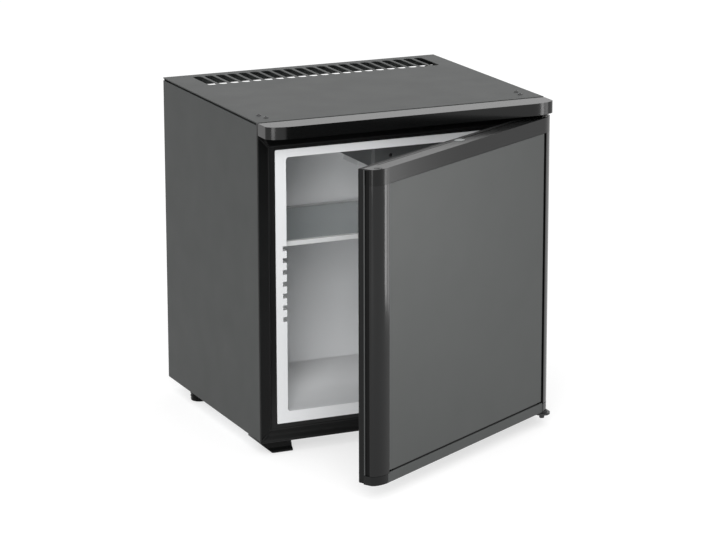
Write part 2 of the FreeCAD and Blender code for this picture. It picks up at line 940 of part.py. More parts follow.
def unit_brackets():
    clamp_low = boiler_top - clamp_drop
    clamp_high = clamp_low + clamp_height
    band = post(boiler_x, unit_y, clamp_low, clamp_high, boiler_radius + clamp_wall)
    half = arm_width / 2
    web = box(boiler_x - half, boiler_x + half, shaft_y, unit_y, clamp_low, clamp_high)
    wide = clamp_plate_width / 2
    plate = box(boiler_x - wide, boiler_x + wide, shaft_y, shaft_y + clamp_wall, clamp_low, clamp_high)
    clamp = fused([band, web, plate]).cut(post(boiler_x, unit_y, clamp_low, clamp_high, boiler_radius))
    pieces = [clamp]
    pipe = condenser_tube()
    slope = condenser_rise / (inlet_x - boiler_x)
    for x in (boiler_x + condenser_arm_inset, inlet_x - condenser_arm_inset):
        z = inlet_z + slope * (inlet_x - x) - arm_height / 2
        pieces.append(box(x - half, x + half, shaft_y, unit_y, z, z + arm_height).cut(pipe))
    x = exchanger_down
    z = exchanger_z - exchanger_arm_drop
    pieces.append(box(x - half, x + half, shaft_y, exchanger_y, z, z + arm_height).cut(gas_exchanger()))
    strap_back = unit_y - tube_radius
    strap_high = coil_low + (coil_rows - 1) * coil_pitch
    x0 = (coil_x0 + coil_x1 - strap_width) / 2
    x1 = x0 + strap_width
    strap = [box(x0, x1, strap_back - strap_wall, strap_back, coil_low, strap_high)]
    for z in (coil_low, strap_high - arm_width):
        strap.append(box(x0, x1, shaft_y, strap_back, z, z + arm_width))
    pieces.append(fused(strap))
    return Part.Compound(pieces + vessel_saddles())


def saddle_places():
    return (vessel_x0 + saddle_inset, vessel_x1 - saddle_inset)


def vessel_saddles():
    saddles = []
    for x in saddle_places():
        half = saddle_width / 2
        y0 = vessel_y - saddle_depth / 2
        block = box(x - half, x + half, y0, y0 + saddle_depth, base_top, vessel_z)
        saddles.append(block.cut(absorber_vessel()))
    return saddles


def box_places():
    x0 = -inner_half + box_left_gap
    y0 = shaft_y + box_gap
    return x0, x0 + box_width, y0, y0 + box_depth, base_top, base_top + box_height


def terminal_box():
    x0, x1, y0, y1, z0, z1 = box_places()
    outer = box(x0, x1, y0, y1, z0, z1)
    w = box_wall
    inner = box(x0 + w, x1 - w, y0 + w, y1 + overrun, z0 + w, z1 - w)
    shell = outer.cut(inner)
    bosses = []
    for x, z in box_screw_places():
        bosses.append(bar_y(x, z, y0, y1, screw_head_radius))
    shell = fused([shell] + bosses)
    for x, z in box_screw_places():
        shell = shell.cut(bar_y(x, z, y1 - screw_length * 2, y1 + overrun, screw_radius))
    return shell


def box_screw_places():
    x0, x1, y0, y1, z0, z1 = box_places()
    s = box_screw_inset
    return [(x0 + s, z0 + s), (x1 - s, z0 + s), (x0 + s, z1 - s), (x1 - s, z1 - s)]


def terminal_box_cover():
    x0, x1, y0, y1, z0, z1 = box_places()
    plate = front_plate(x0, x1, z0, z1, y1, y1 + box_cover_wall, box_wall)
    for x, z in box_screw_places():
        plate = plate.cut(bar_y(x, z, y1 - overrun, y1 + box_cover_wall + overrun, screw_radius))
    middle = ((x0 + x1) / 2, (z0 + z1) / 2)
    entry = gland_radius - box_wall
    return plate.cut(bar_y(middle[0], middle[1], y1 - overrun, y1 + box_cover_wall + overrun, entry))


def terminal_box_screws():
    x0, x1, y0, y1, z0, z1 = box_places()
    face = y1 + box_cover_wall
    return Part.Compound([screw(x, face, z, Vector(0, 1, 0)) for x, z in box_screw_places()])


def cable_gland():
    x0, x1, y0, y1, z0, z1 = box_places()
    x = (x0 + x1) / 2
    z = (z0 + z1) / 2
    face = y1 + box_cover_wall
    neck = bar_y(x, z, y1, face, gland_radius - box_wall)
    nut = bar_y(x, z, face, face + gland_length / 2, gland_radius)
    start = Vector(x, face + gland_length / 2, z)
    tip = gland_radius - box_wall
    nose = Part.makeCone(gland_radius, tip, gland_length / 2, start, Vector(0, 1, 0))
    return fused([neck, nut, nose]).cut(bar_y(x, z, y1 - overrun, face + gland_length + overrun, gland_bore))


def rear_crossbar():
    half = inner_half - side_rear_return - crossbar_gap
    return box(-half, half, rear_y - sheet, rear_y, base_top, base_top + crossbar_height)


def front_foot(side, front, top):
    """Moulded foot with a slanted outer side; side is -1 left, 1 right."""
    inner = half_width - front_foot_inner
    outline = [
        (half_width, top),
        (half_width - front_foot_slope, 0),
        (inner - front_foot_draft, 0),
        (inner, top),
    ]
    points = [Vector(side * x, front, z) for x, z in outline]
    face = Part.Face(Part.makePolygon(points + points[:1]))
    foot = face.extrude(Vector(0, front_foot_back, 0))
    middles = [(edge, edge.CenterOfMass) for edge in foot.Edges]
    low = [edge for edge, at in middles if at.z < overrun and at.y < front + overrun]
    return foot.makeFillet(front_foot_draft, low)


def left_front_foot():
    return front_foot(-1, front_y + front_foot_setback, frame_bottom)


def right_front_foot():
    foot = front_foot(1, front_y + hinge_foot_setback, bracket_bottom)
    pocket = screw_head_radius + screw_pocket_clearance
    low = bracket_bottom - screw_head_height - screw_pocket_clearance
    for x, y in bracket_screw_places():
        foot = foot.cut(post(x, y, low, bracket_bottom + overrun, pocket))
    return foot


def rear_feet():
    feet = []
    for side in (-1, 1):
        x = side * (half_width - rear_foot_inset)
        foot = post(x, rear_y - rear_foot_from_back, 0, foot_height, rear_foot_radius)
        rim = [edge for edge in foot.Edges if edge.Closed and edge.CenterOfMass.z < overrun]
        feet.append(foot.makeFillet(front_foot_draft, rim))
    return Part.Compound(feet)


def lower_hinge_bracket():
    x1 = half_width - sheet
    x0 = x1 - bracket_length
    plate = box(x0, x1, front_y - bracket_root, front_y + bracket_tuck, bracket_bottom, frame_bottom)
    tongue_left = hinge_x - tongue_width / 2
    tongue_right = hinge_x + tongue_width / 2
    tongue = box(tongue_left, tongue_right, hinge_y, front_y - sheet, tongue_bottom, tongue_top)
    riser = box(tongue_left, tongue_right, front_y - bracket_root, front_y - sheet, bracket_bottom, tongue_top)
    nose = post(hinge_x, hinge_y, tongue_bottom, tongue_top, tongue_width / 2)
    bracket = fused([plate, tongue, riser, nose])
    bracket = bracket.cut(post(hinge_x, hinge_y, bracket_bottom, tongue_top + overrun, pin_radius))
    for x, y in bracket_screw_places():
        bracket = bracket.cut(post(x, y, bracket_bottom - overrun, frame_bottom + overrun, screw_radius))
    return bracket


def bracket_screw_places():
    x = half_width - sheet - bracket_length + bracket_screw_inset / 2
    y = front_y + bracket_tuck - bracket_screw_inset
    return [(x, y), (x, y - bracket_screw_inset * 2)]


def bracket_screws():
    low = bracket_bottom
    places = bracket_screw_places()
    screws = []
    for x, y in places:
        head = post(x, y, low - screw_head_height, low, screw_head_radius)
        shank = post(x, y, low, frame_bottom, screw_radius)
        screws.append(fused([head, shank]))
    return Part.Compound(screws)


def lower_hinge_pin():
    head = post(hinge_x, hinge_y, tongue_bottom - pin_head_height, tongue_bottom, pin_head_radius)
    rim = [edge for edge in head.Edges if edge.Closed and edge.CenterOfMass.z < tongue_bottom - pin_radius]
    head = head.makeFillet(sheet, rim)
    shank = post(hinge_x, hinge_y, tongue_bottom, door_low + bush_length - pin_end_clearance, pin_radius)
    return fused([head, shank])


def hinge_washer():
    ring = post(hinge_x, hinge_y, tongue_top, door_low - washer_clearance, washer_radius)
    return ring.cut(post(hinge_x, hinge_y, tongue_top - overrun, door_low, pin_radius))


def stop_screw():
    x = hinge_x + stop_screw_offset
    low = tongue_bottom - stop_screw_height
    body = post(x, hinge_y, low, tongue_bottom, stop_screw_radius)
    rim = [edge for edge in body.Edges if edge.Closed and edge.CenterOfMass.z < low + overrun]
    return body.makeFillet(stop_screw_dome, rim)


def upper_hinge_plate():
    low = fascia_bottom + trim_wall
    x0 = half_width - trim_wall - upper_plate_inset - upper_plate_length
    x1 = x0 + upper_plate_length
    y0 = hinge_y - bush_radius
    flat = box(x0, x1, y0, front_y, low, low + bracket_wall)
    inset = trim_wall + upper_plate_clearance
    flat = flat.common(nose_block(front_y - fascia_reach, front_y, low, low + bracket_wall, inset))
    leg = box(x0, x1, front_y - bracket_wall, front_y, low, low + upper_plate_height)
    hole = post(hinge_x, hinge_y, low - overrun, low + bracket_wall + overrun, pin_radius)
    return fused([flat, leg]).cut(hole)


def upper_hinge_pin():
    high = fascia_bottom + trim_wall + bracket_wall
    shank = post(hinge_x, hinge_y, door_high - bush_length + pin_end_clearance, high, pin_radius)
    head = post(hinge_x, hinge_y, high, high + bracket_wall, pin_head_radius)
    return fused([shank, head])


def light_switch():
    low = fascia_bottom + trim_wall
    x0 = switch_x - switch_length / 2
    y0 = hinge_y
    return box(x0, x0 + switch_length, y0, y0 + switch_width, low, low + switch_height)


def profile_shell(z0, z1):
    """The door's outer shell as one hollow bar, which the profiles and trims are cut from."""
    outer = nose_block(door_front, profile_back, z0, z1, 0)
    inner = nose_block(door_front, profile_back + overrun, z0 - overrun, z1 + overrun, trim_wall)
    return outer.cut(inner)


def handle_profile():
    shell = profile_shell(profile_low, trim_low)
    keep = box(-half_width, panel_left, door_front, profile_back, profile_low, trim_low)
    skin = shell.common(keep)
    web = box(panel_left - trim_wall, panel_left, door_front + sheet, core_front, profile_low, trim_low)
    x0 = panel_left - trim_wall
    tongue = box(x0, panel_left + profile_tongue, tongue_front, core_front, profile_low, trim_low)
    return fused([skin, web, tongue])


def hinge_profile():
    shell = profile_shell(profile_low, trim_low)
    keep = box(profile_right, half_width, door_front, profile_back, profile_low, trim_low)
    skin = shell.common(keep)
    x1 = profile_right + trim_wall
    web = box(profile_right, x1, door_front + sheet, core_front, profile_low, trim_low)
    web = web.common(nose_block(door_front, profile_back, profile_low, trim_low, 0))
    x0 = panel_right - profile_tongue
    tongue = box(x0, profile_right, tongue_front, core_front, profile_low, trim_low)
    return fused([skin, web, tongue])


def door_panel():
    return box(panel_left, panel_right, door_front, panel_back, panel_low, trim_low - panel_top_gap)


def hinge_bore(z0, z1):
    return post(hinge_x, hinge_y, z0, z1, bush_radius)


def foam_plug_shape(grow, z0, z1):
    y = door_front + foam_plug_back
    long = foam_plug_long / 2 + grow
    short = foam_plug_short / 2 + grow
    return floor_plate(-long, long, y - short, y + short, z0, z1, short * round_share)


def door_top_trim():
    outer = nose_block(door_front, profile_back, trim_low, door_high, 0)
    inner = nose_block(door_front, profile_back + overrun, trim_low - overrun, door_high - trim_wall, trim_wall)
    cap = outer.cut(inner).cut(hinge_bore(door_high - bush_length, door_high + overrun))
    return cap.cut(foam_plug_shape(0, door_high - trim_wall - overrun, door_high + overrun))


def foam_plug():
    neck = foam_plug_shape(0, door_high - trim_wall, door_high)
    rim = foam_plug_shape(foam_plug_rim, door_high, door_high + foam_plug_rise)
    return fused([neck, rim])


def bottom_rail():
    x = cap_edge - end_cap_gap
    wall = box(-x, x, door_front, door_front + trim_wall, door_low, rail_top)
    floor = box(-x, x, door_front, profile_back, door_low, door_low + trim_wall)
    notch = box(-half_width, panel_left, door_front, profile_back, cap_top, rail_top)
    return fused([wall, floor]).cut(notch)


def end_cap(side):
    outer = nose_block(door_front, profile_back, door_low, cap_top, 0)
    inner = nose_block(door_front, profile_back + overrun, door_low + trim_wall, cap_top + overrun, trim_wall)
    ends = sorted((side * cap_edge, side * half_width))
    shell = outer.cut(inner).common(box(ends[0], ends[1], door_front, profile_back, door_low, cap_top))
    return shell.cut(hinge_bore(door_low - overrun, door_low + bush_length))


def door_end_caps():
    return Part.Compound([end_cap(-1), end_cap(1)])


def bush(z0, z1):
    ring = post(hinge_x, hinge_y, z0, z1, bush_radius)
    return ring.cut(post(hinge_x, hinge_y, z0 - overrun, z1 + overrun, pin_radius + pin_clearance))


def upper_bush():
    return bush(door_high - bush_length, door_high)


def lower_bush():
    return bush(door_low, door_low + bush_length)


def door_core_sheet():
    half = half_width - door_core_inset
    return box(-half, half, core_front, foam_front, profile_low, trim_low)


def plug_box(inset, front, back):
    half = half_width - plug_inset_side - inset
    low = door_low + plug_inset_bottom + inset
    high = door_high - plug_inset_top - inset
    return front_plate(-half, half, low, high, front, back, plug_corner)


def liner_back_plate():
    return rim_back - liner_wall


def door_foam():
    half = half_width - door_core_inset
    core = box(-half, half, foam_front, liner_back_plate(), profile_low, trim_low)
    reach = front_y + plug_reach - recess_depth - liner_wall
    return fused([core, plug_box(liner_wall, liner_back_plate() - overrun, reach)])


def door_liner():
    half = half_width - door_rim_inset
    low = door_low + door_rim_inset
    high = door_high - door_rim_inset
    tray = box(-half, half, profile_back, rim_back, low, high)
    w = liner_wall
    hollow = box(-half + w, half - w, profile_back - overrun, liner_back_plate(), low + w, high - w)
    tray = tray.cut(hollow)
    plug = plug_box(0, liner_back_plate(), front_y + plug_reach)
    plug = plug.cut(plug_box(w, liner_back_plate() - overrun, front_y + plug_reach - recess_depth - w))
    face = front_y + plug_reach
    recess = plug_box(recess_border, face - recess_depth, face + overrun)
    hole = plug_box(w, liner_back_plate() - overrun, rim_back + overrun)
    return fused([tray.cut(hole), plug]).cut(recess)


def door_gasket():
    half = half_width - gasket_inset
    low = door_low + gasket_inset
    high = door_high - gasket_inset
    back = front_y - gasket_clearance
    ring = front_plate(-half, half, low, high, rim_back, back, gasket_corner)
    g = gasket_width
    hole = front_plate(
        -half + g, half - g, low + g, high - g, rim_back - overrun, back + overrun, gasket_corner / 2
    )
    return ring.cut(hole)


def switch_magnet():
    high = door_high - trim_wall
    x0 = switch_x - magnet_length / 2
    y0 = hinge_y
    return box(x0, x0 + magnet_length, y0, y0 + magnet_width, high - magnet_height, high)


def opened(shape):
    """The door's pieces are drawn closed, and turned about the hinge pins to their place at rest."""
    turned = shape.copy()
    turned.rotate(Vector(hinge_x, hinge_y, 0), Vector(0, 0, 1), rest_opening)
    return turned


cabinet_parts = {
    "side_panel_left": side_panel(-1),
    "side_panel_right": side_panel(1),
    "top_panel": top_panel(),
    "lid_screws": lid_screws(),
    "top_fascia": top_fascia(),
    "front_frame": front_frame(),
    "inner_liner": inner_liner(),
    "insulation": insulation(),
    "rear_wall": rear_wall(),
    "base_panel": base_panel(),
    "rear_crossbar": rear_crossbar(),
    "shelf_frame": shelf_frame(),
    "shelf_glass": shelf_glass(),
    "evaporator_cover": evaporator_cover(),
    "evaporator": evaporator(),
    "lamp_lens": lamp_lens(),
    "temperature_sensor": temperature_sensor(),
    "thermostat": thermostat(),
    "thermostat_knob": thermostat_knob(),
    "drip_tray": drip_tray(),
    "drain_tube": drain_tube(),
    "drain_cup": drain_cup(),
    "absorber_vessel": absorber_vessel(),
    "absorber_coil": absorber_coil(),
    "gas_exchanger": gas_exchanger(),
    "boiler_casing": boiler_casing(),
    "boiler_heater": boiler_heater(),
    "liquid_pipe": liquid_pipe(),
    "condenser_tube": condenser_tube(),
    "condenser_fins": condenser_fins(),
    "unit_brackets": unit_brackets(),
    "terminal_box": terminal_box(),
    "terminal_box_cover": terminal_box_cover(),
    "terminal_box_screws": terminal_box_screws(),
    "cable_gland": cable_gland(),
    "left_front_foot": left_front_foot(),
    "right_front_foot": right_front_foot(),
    "rear_feet": rear_feet(),
    "lower_hinge_bracket": lower_hinge_bracket(),
    "lower_hinge_pin": lower_hinge_pin(),
    "hinge_washer": hinge_washer(),
    "stop_screw": stop_screw(),
    "bracket_screws": bracket_screws(),
    "upper_hinge_plate": upper_hinge_plate(),
    "upper_hinge_pin": upper_hinge_pin(),
    "light_switch": light_switch(),
}

door_parts = {
    "door_panel": door_panel(),
    "handle_profile": handle_profile(),
    "hinge_profile": hinge_profile(),
    "door_top_trim": door_top_trim(),
    "foam_plug": foam_plug(),
    "bottom_rail": bottom_rail(),
    "door_end_caps": door_end_caps(),
    "upper_bush": upper_bush(),
    "lower_bush": lower_bush(),
    "door_core_sheet": door_core_sheet(),
    "door_foam": door_foam(),
    "door_liner": door_liner(),
    "door_gasket": door_gasket(),
    "switch_magnet": switch_magnet(),
}

for name, shape in cabinet_parts.items():
    shape.exportStep(f"parts/{name}.step")

for name, shape in door_parts.items():
    opened(shape).exportStep(f"parts/{name}.step")
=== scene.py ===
import json
import math

import bmesh
import bpy
from mathutils import Matrix, Vector


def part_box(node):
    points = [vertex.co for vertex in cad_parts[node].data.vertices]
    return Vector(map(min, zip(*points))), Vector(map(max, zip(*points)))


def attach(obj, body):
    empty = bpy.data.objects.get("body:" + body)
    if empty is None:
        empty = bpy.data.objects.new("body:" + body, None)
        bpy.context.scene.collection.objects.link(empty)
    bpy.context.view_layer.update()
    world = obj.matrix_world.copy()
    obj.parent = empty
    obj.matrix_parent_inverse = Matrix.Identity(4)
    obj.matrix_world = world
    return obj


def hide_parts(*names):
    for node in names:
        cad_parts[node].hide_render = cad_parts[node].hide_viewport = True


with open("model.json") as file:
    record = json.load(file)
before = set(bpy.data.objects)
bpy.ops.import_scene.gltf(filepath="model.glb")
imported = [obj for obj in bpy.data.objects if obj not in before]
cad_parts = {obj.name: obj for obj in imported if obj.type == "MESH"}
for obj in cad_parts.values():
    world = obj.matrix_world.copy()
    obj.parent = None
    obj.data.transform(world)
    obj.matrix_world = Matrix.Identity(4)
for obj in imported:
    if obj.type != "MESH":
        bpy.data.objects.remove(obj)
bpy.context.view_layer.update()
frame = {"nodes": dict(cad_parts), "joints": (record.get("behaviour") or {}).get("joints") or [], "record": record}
nodes = frame["nodes"]
slotOfNode = {part["node"]: part["material_slot"] for part in frame["record"]["subparts"]}
scene = bpy.context.scene

# a small hotel fridge with its door half open
# x to the right, y to the back, z up, floor at z 0; sizes are in millimetres unless a line says otherwise

mm = 0.001
past = 1.0  # how far a cutting block runs out past the piece that it cuts
farPast = 5.0  # the same, where there is more room
sharpDegrees = 32.0  # edges that turn more than this are rounded or kept sharp
flatDegrees = 0.3  # faces that turn less than this are one flat face


class Look(dict):
    # a dictionary of a piece's values, which are also read as look.name
    __getattr__ = dict.__getitem__


# lines that several pieces share, as in the cabinet's own drawing
cabinet = Look(
    half=225.0, front=-58.4925, rear=312.5075, top=488.0, floor=20.0, lipHalf=198.9, lipLow=44.5,
    lipHigh=446.2, lipCorner=1.4, foldLow=486.4
)
door = Look(
    front=-98.4925, profileBack=-74.4925, rimBack=-65.4925, low=22.5, high=466.0, trimLow=443.8,
    capTop=35.2, profileLow=35.5, wall=2.5,
    # its rounded corners
    bendWidth=28.0, bendDepth=13.0, bendSteps=18
)

hinge = next(joint for joint in frame["joints"] if joint["name"] == "door_hinge")
hingePoint = Vector(hinge["pos_m"])
hingeX, hingeY = hingePoint.xy / mm
doorOpening = math.radians(-hinge["range_deg"][0])
toHinge = Matrix.Translation(hingePoint)
# from the closed door's place to the half open one
doorSwing = toHinge @ Matrix.Rotation(doorOpening, 4, "Z") @ toHinge.inverted()


# finishes

def newNode(tree, kind, **values):
    node = tree.nodes.new(kind)
    for name, value in values.items():
        if name in node.inputs:
            node.inputs[name].default_value = value
        else:
            setattr(node, name, value)
    return node


# what a finish has unless its own line says otherwise; depths are in metres
finishBase = dict(
    toneShare=0.88, toneSpan=(0.3, 0.7), patch=9.0, smudge=22.0, grain=1800.0, bump=0.12, grainDepth=0.0001,
    waveBump=0.1, waveDepth=0.002, metal=0.0, specular=0.5, clear=0.0
)


def makeFinish(name, given):
    # every finish: two close tones in soft patches, uneven gloss and a fine moulded or sprayed grain
    look = {**finishBase, **given}
    material = bpy.data.materials.new(name)
    material.use_nodes = True
    tree = material.node_tree
    tree.nodes.clear()
    link = tree.links.new
    place = newNode(tree, "ShaderNodeTexCoord").outputs["Object"]

    def pattern(kind, **values):
        texture = newNode(tree, kind, **values)
        link(place, texture.inputs["Vector"])
        return texture.outputs

    shader = newNode(tree, "ShaderNodeBsdfPrincipled", Metallic=look["metal"], IOR=1.5,
                     **{"Specular IOR Level": look["specular"], "Transmission Weight": look["clear"]})
    link(shader.outputs["BSDF"], newNode(tree, "ShaderNodeOutputMaterial").inputs["Surface"])

    if "spangle" in look:
        # zinc crystals
        tones = pattern("ShaderNodeTexVoronoi", Scale=look["spangle"])["Color"]
    else:
        tones = pattern("ShaderNodeTexNoise", Scale=look["patch"], Detail=3.0, Roughness=0.55)["Fac"]
    ramp = newNode(tree, "ShaderNodeValToRGB")
    other = look.get("tone", tuple(part * look["toneShare"] for part in look["color"]))
    for stop, position, color in zip(ramp.color_ramp.elements, look["toneSpan"], (other, look["color"])):
        stop.position = position
        stop.color = (*color, 1.0)
    link(tones, ramp.inputs["Fac"])
    link(ramp.outputs["Color"], shader.inputs["Base Color"])

    low, high = look["rough"]
    gloss = newNode(tree, "ShaderNodeMapRange", **{"To Min": low, "To Max": high})
    link(pattern("ShaderNodeTexNoise", Scale=look["smudge"], Detail=4.0)["Fac"], gloss.inputs["Value"])
    link(gloss.outputs["Result"], shader.inputs["Roughness"])

    bump = newNode(tree, "ShaderNodeBump", Strength=look["bump"], Distance=look["grainDepth"])
    link(pattern("ShaderNodeTexNoise", Scale=look["grain"], Detail=2.0)["Fac"], bump.inputs["Height"])
    if "wave" in look:
        # slow unevenness of pressed sheet and blown plastic
        slow = newNode(tree, "ShaderNodeBump", Strength=look["waveBump"], Distance=look["waveDepth"])
        link(pattern("ShaderNodeTexNoise", Scale=look["wave"], Detail=1.0)["Fac"], slow.inputs["Height"])
        link(slow.outputs["Normal"], bump.inputs["Normal"])
    link(bump.outputs["Normal"], shader.inputs["Normal"])
    return material


finishLooks = {
    "cabinetPaint": dict(color=(0.039, 0.042, 0.041), tone=(0.0365, 0.0395, 0.0385), rough=(0.46, 0.54),
        specular=0.2, grain=900.0, bump=0.1, wave=14.0, waveBump=0.02),
    # the cabinet's paint again for the lid, a little lighter and glossier: painted light, for the light that falls
    # on the top
    "lidPaint": dict(color=(0.044, 0.047, 0.046), tone=(0.0405, 0.0435, 0.0425), rough=(0.42, 0.5),
        specular=0.2, grain=900.0, bump=0.1, wave=14.0, waveBump=0.02),
    "doorPaint": dict(color=(0.051, 0.0545, 0.0532), tone=(0.048, 0.0515, 0.0502), rough=(0.42, 0.5),
        specular=0.33, grain=900.0, bump=0.1, wave=10.0, waveBump=0.02),
    "railPaint": dict(color=(0.052, 0.0555, 0.0545), tone=(0.047, 0.0505, 0.0495), rough=(0.42, 0.5),
        specular=0.3, grain=700.0, bump=0.2),
    "galvanisedSheet": dict(color=(0.49, 0.51, 0.52), tone=(0.42, 0.44, 0.45), rough=(0.36, 0.55),
        metal=1.0, spangle=230.0, grain=700.0, bump=0.05),
    "fasciaPlastic": dict(color=(0.004, 0.0042, 0.0042), rough=(0.13, 0.17), specular=0.3, grain=2600.0,
        bump=0.02),
    "framePlastic": dict(color=(0.0085, 0.0088, 0.0088), rough=(0.3, 0.4), specular=0.22, grain=2200.0,
        bump=0.06),
    "linerPlastic": dict(color=(0.8, 0.81, 0.82), tone=(0.78, 0.79, 0.8), rough=(0.28, 0.38),
        grain=1500.0, bump=0.04, wave=30.0, waveBump=0.03),
    "doorLinerPlastic": dict(color=(0.006, 0.0063, 0.0063), rough=(0.4, 0.5), specular=0.15, grain=1500.0,
        bump=0.08, wave=26.0, waveBump=0.04),
    "foam": dict(color=(0.6, 0.575, 0.5), tone=(0.53, 0.505, 0.44), rough=(0.85, 0.95), grain=500.0,
        bump=0.5),
    "shelfPlastic": dict(color=(0.72, 0.73, 0.73), rough=(0.34, 0.44), grain=1700.0, bump=0.08),
    "shelfGlass": dict(color=(0.75, 0.8, 0.8), rough=(0.04, 0.07), clear=0.85, grain=400.0, bump=0.01),
    "coverPlastic": dict(color=(0.125, 0.129, 0.13), rough=(0.45, 0.55), grain=1300.0, bump=0.2),
    "finAluminium": dict(color=(0.75, 0.76, 0.77), rough=(0.3, 0.42), metal=1.0, grain=900.0, bump=0.1),
    "lensPlastic": dict(color=(0.85, 0.85, 0.8), rough=(0.25, 0.3), clear=0.5, grain=900.0, bump=0.05),
    "sensorPlastic": dict(color=(0.02, 0.02, 0.02), rough=(0.5, 0.6)),
    "thermostatPlastic": dict(color=(0.75, 0.75, 0.72), rough=(0.45, 0.55)),
    "knobPlastic": dict(color=(0.68, 0.69, 0.69), rough=(0.35, 0.45), bump=0.1),
    "trayPlastic": dict(color=(0.78, 0.79, 0.79), rough=(0.35, 0.45)),
    "drainPlastic": dict(color=(0.28, 0.29, 0.3), rough=(0.4, 0.5)),
    "unitSteel": dict(color=(0.018, 0.018, 0.019), tone=(0.026, 0.026, 0.027), rough=(0.4, 0.58),
        specular=0.45, grain=900.0, bump=0.3),
    "casingSteel": dict(color=(0.55, 0.57, 0.58), tone=(0.48, 0.5, 0.51), rough=(0.3, 0.5), metal=1.0,
        spangle=210.0, bump=0.05),
    "heaterSteel": dict(color=(0.42, 0.38, 0.34), tone=(0.3, 0.26, 0.23), rough=(0.4, 0.55), metal=1.0),
    "bracketSteel": dict(color=(0.45, 0.46, 0.47), tone=(0.36, 0.37, 0.38), rough=(0.35, 0.5), metal=1.0),
    "boxPlastic": dict(color=(0.022, 0.022, 0.023), rough=(0.45, 0.55), grain=1200.0, bump=0.25),
    "screwSteel": dict(color=(0.34, 0.35, 0.35), rough=(0.25, 0.4), metal=1.0),
    "lidScrewSteel": dict(color=(0.022, 0.022, 0.023), rough=(0.12, 0.18)),
    # the feet's black plastic, its colour set darker still as painted shade, for the shade under the frame's edge
    "footPlastic": dict(color=(0.003, 0.0032, 0.0031), rough=(0.22, 0.3), specular=0.1, grain=1500.0,
        bump=0.08),
    "hingeSteel": dict(color=(0.016, 0.016, 0.017), rough=(0.3, 0.42), specular=0.45, grain=900.0,
        bump=0.1),
    "washerPlastic": dict(color=(0.03, 0.03, 0.031), rough=(0.4, 0.5), specular=0.3),
    "switchPlastic": dict(color=(0.1, 0.1, 0.1), rough=(0.4, 0.5)),
    "profilePlastic": dict(color=(0.004, 0.0042, 0.0043), rough=(0.11, 0.15), specular=0.3, grain=2400.0,
        bump=0.02),
    # near-black matt plastic for strips that darken the side grooves and the gap below the panel: painted shade
    "stripPlastic": dict(color=(0.003, 0.0031, 0.0031), rough=(0.6, 0.7), specular=0.12, bump=0.1),
    # lighter plastic for the pressed-in bead: a painted highlight line along the door's back edge
    "beadPlastic": dict(color=(0.05, 0.052, 0.052), rough=(0.3, 0.4), specular=0.35, bump=0.05),
    "trimPlastic": dict(color=(0.003, 0.0032, 0.0032), rough=(0.17, 0.22), specular=0.24, grain=1800.0,
        bump=0.04),
    "plugPlastic": dict(color=(0.2, 0.21, 0.21), rough=(0.3, 0.4)),
    "bushPlastic": dict(color=(0.5, 0.5, 0.47), rough=(0.4, 0.5)),
    "gasketRubber": dict(color=(0.012, 0.012, 0.0125), rough=(0.5, 0.62), specular=0.3, grain=1500.0,
        bump=0.1),
    "magnet": dict(color=(0.1, 0.1, 0.1), rough=(0.5, 0.6), metal=0.6),
}
finishes = {name: makeFinish(name, look) for name, look in finishLooks.items()}
print("finishes mixed:", len(finishes))


def snakeName(name):
    return "".join("_" + letter.lower() if letter.isupper() else letter for letter in name)


def finishNameOfNode(node):
    first, *rest = slotOfNode[node].split("_")
    return first + "".join(word.capitalize() for word in rest)


# mesh helpers

def meshOf(shape):
    bmesh.ops.recalc_face_normals(shape, faces=shape.faces)
    mesh = bpy.data.meshes.new("shape")
    shape.to_mesh(mesh)
    shape.free()
    return mesh


def skin(shape, ring, after):
    # faces between two rings of points; a ring of one point closes an end
    count = max(len(ring), len(after))
    for here in range(count):
        there = (here + 1) % count
        corners = [ring[here % len(ring)], ring[there % len(ring)],
                   after[there % len(after)], after[here % len(after)]]
        shape.faces.new(list(dict.fromkeys(corners)))


def around(x, y, radius, angle):
    return x + radius * math.cos(angle), y + radius * math.sin(angle)


def wave(angle):
    # from 0 up to 1 and back in each turn
    return 0.5 - 0.5 * math.cos(angle)


def outlineBlock(outline, low, high, lay="floor"):
    # a straight block of any outline, lying on the floor, facing the front or facing the side
    order = {"floor": (0, 1, 2), "front": (0, 2, 1), "side": (2, 0, 1)}[lay]
    shape = bmesh.new()
    ends = [[shape.verts.new(Vector([(*spot, end)[axis] for axis in order]) * mm) for spot in outline]
            for end in (low, high)]
    for ring in ends:
        shape.faces.new(ring)
    skin(shape, *ends)
    return meshOf(shape)


def boxBlock(x0, x1, y0, y1, z0, z1):
    x0, x1 = sorted((x0, x1))
    return outlineBlock([(x0, y0), (x1, y0), (x1, y1), (x0, y1)], z0, z1)


def sideBoxes(x0, x1, *rest):
    # the same box on the left and on the right
    return [boxBlock(side * x0, side * x1, *rest) for side in (-1, 1)]


def roundedRect(x0, x1, z0, z1, radius, steps=6):
    points = []
    for middleX, middleZ, start in ((x1 - radius, z1 - radius, 0), (x0 + radius, z1 - radius, 90),
                                    (x0 + radius, z0 + radius, 180), (x1 - radius, z0 + radius, 270)):
        points += [around(middleX, middleZ, radius, math.radians(start + 90 * step / steps))
                   for step in range(steps + 1)]
    return points


def circleOutline(x, z, radius, steps=32):
    return [around(x, z, radius, math.tau * step / steps) for step in range(steps)]


def pin(x, z, radius, low, high, lay="floor", steps=32):
    return outlineBlock(circleOutline(x, z, radius, steps), low, high, lay)


def loopShell(loops):
    # skins matching loops of points one after another and closes the last on the first
    shape = bmesh.new()
    rings = [[shape.verts.new(Vector(point) * mm) for point in loop] for loop in loops]
    for ring, after in zip(rings, rings[1:] + rings[:1]):
        skin(shape, ring, after)
    return meshOf(shape)


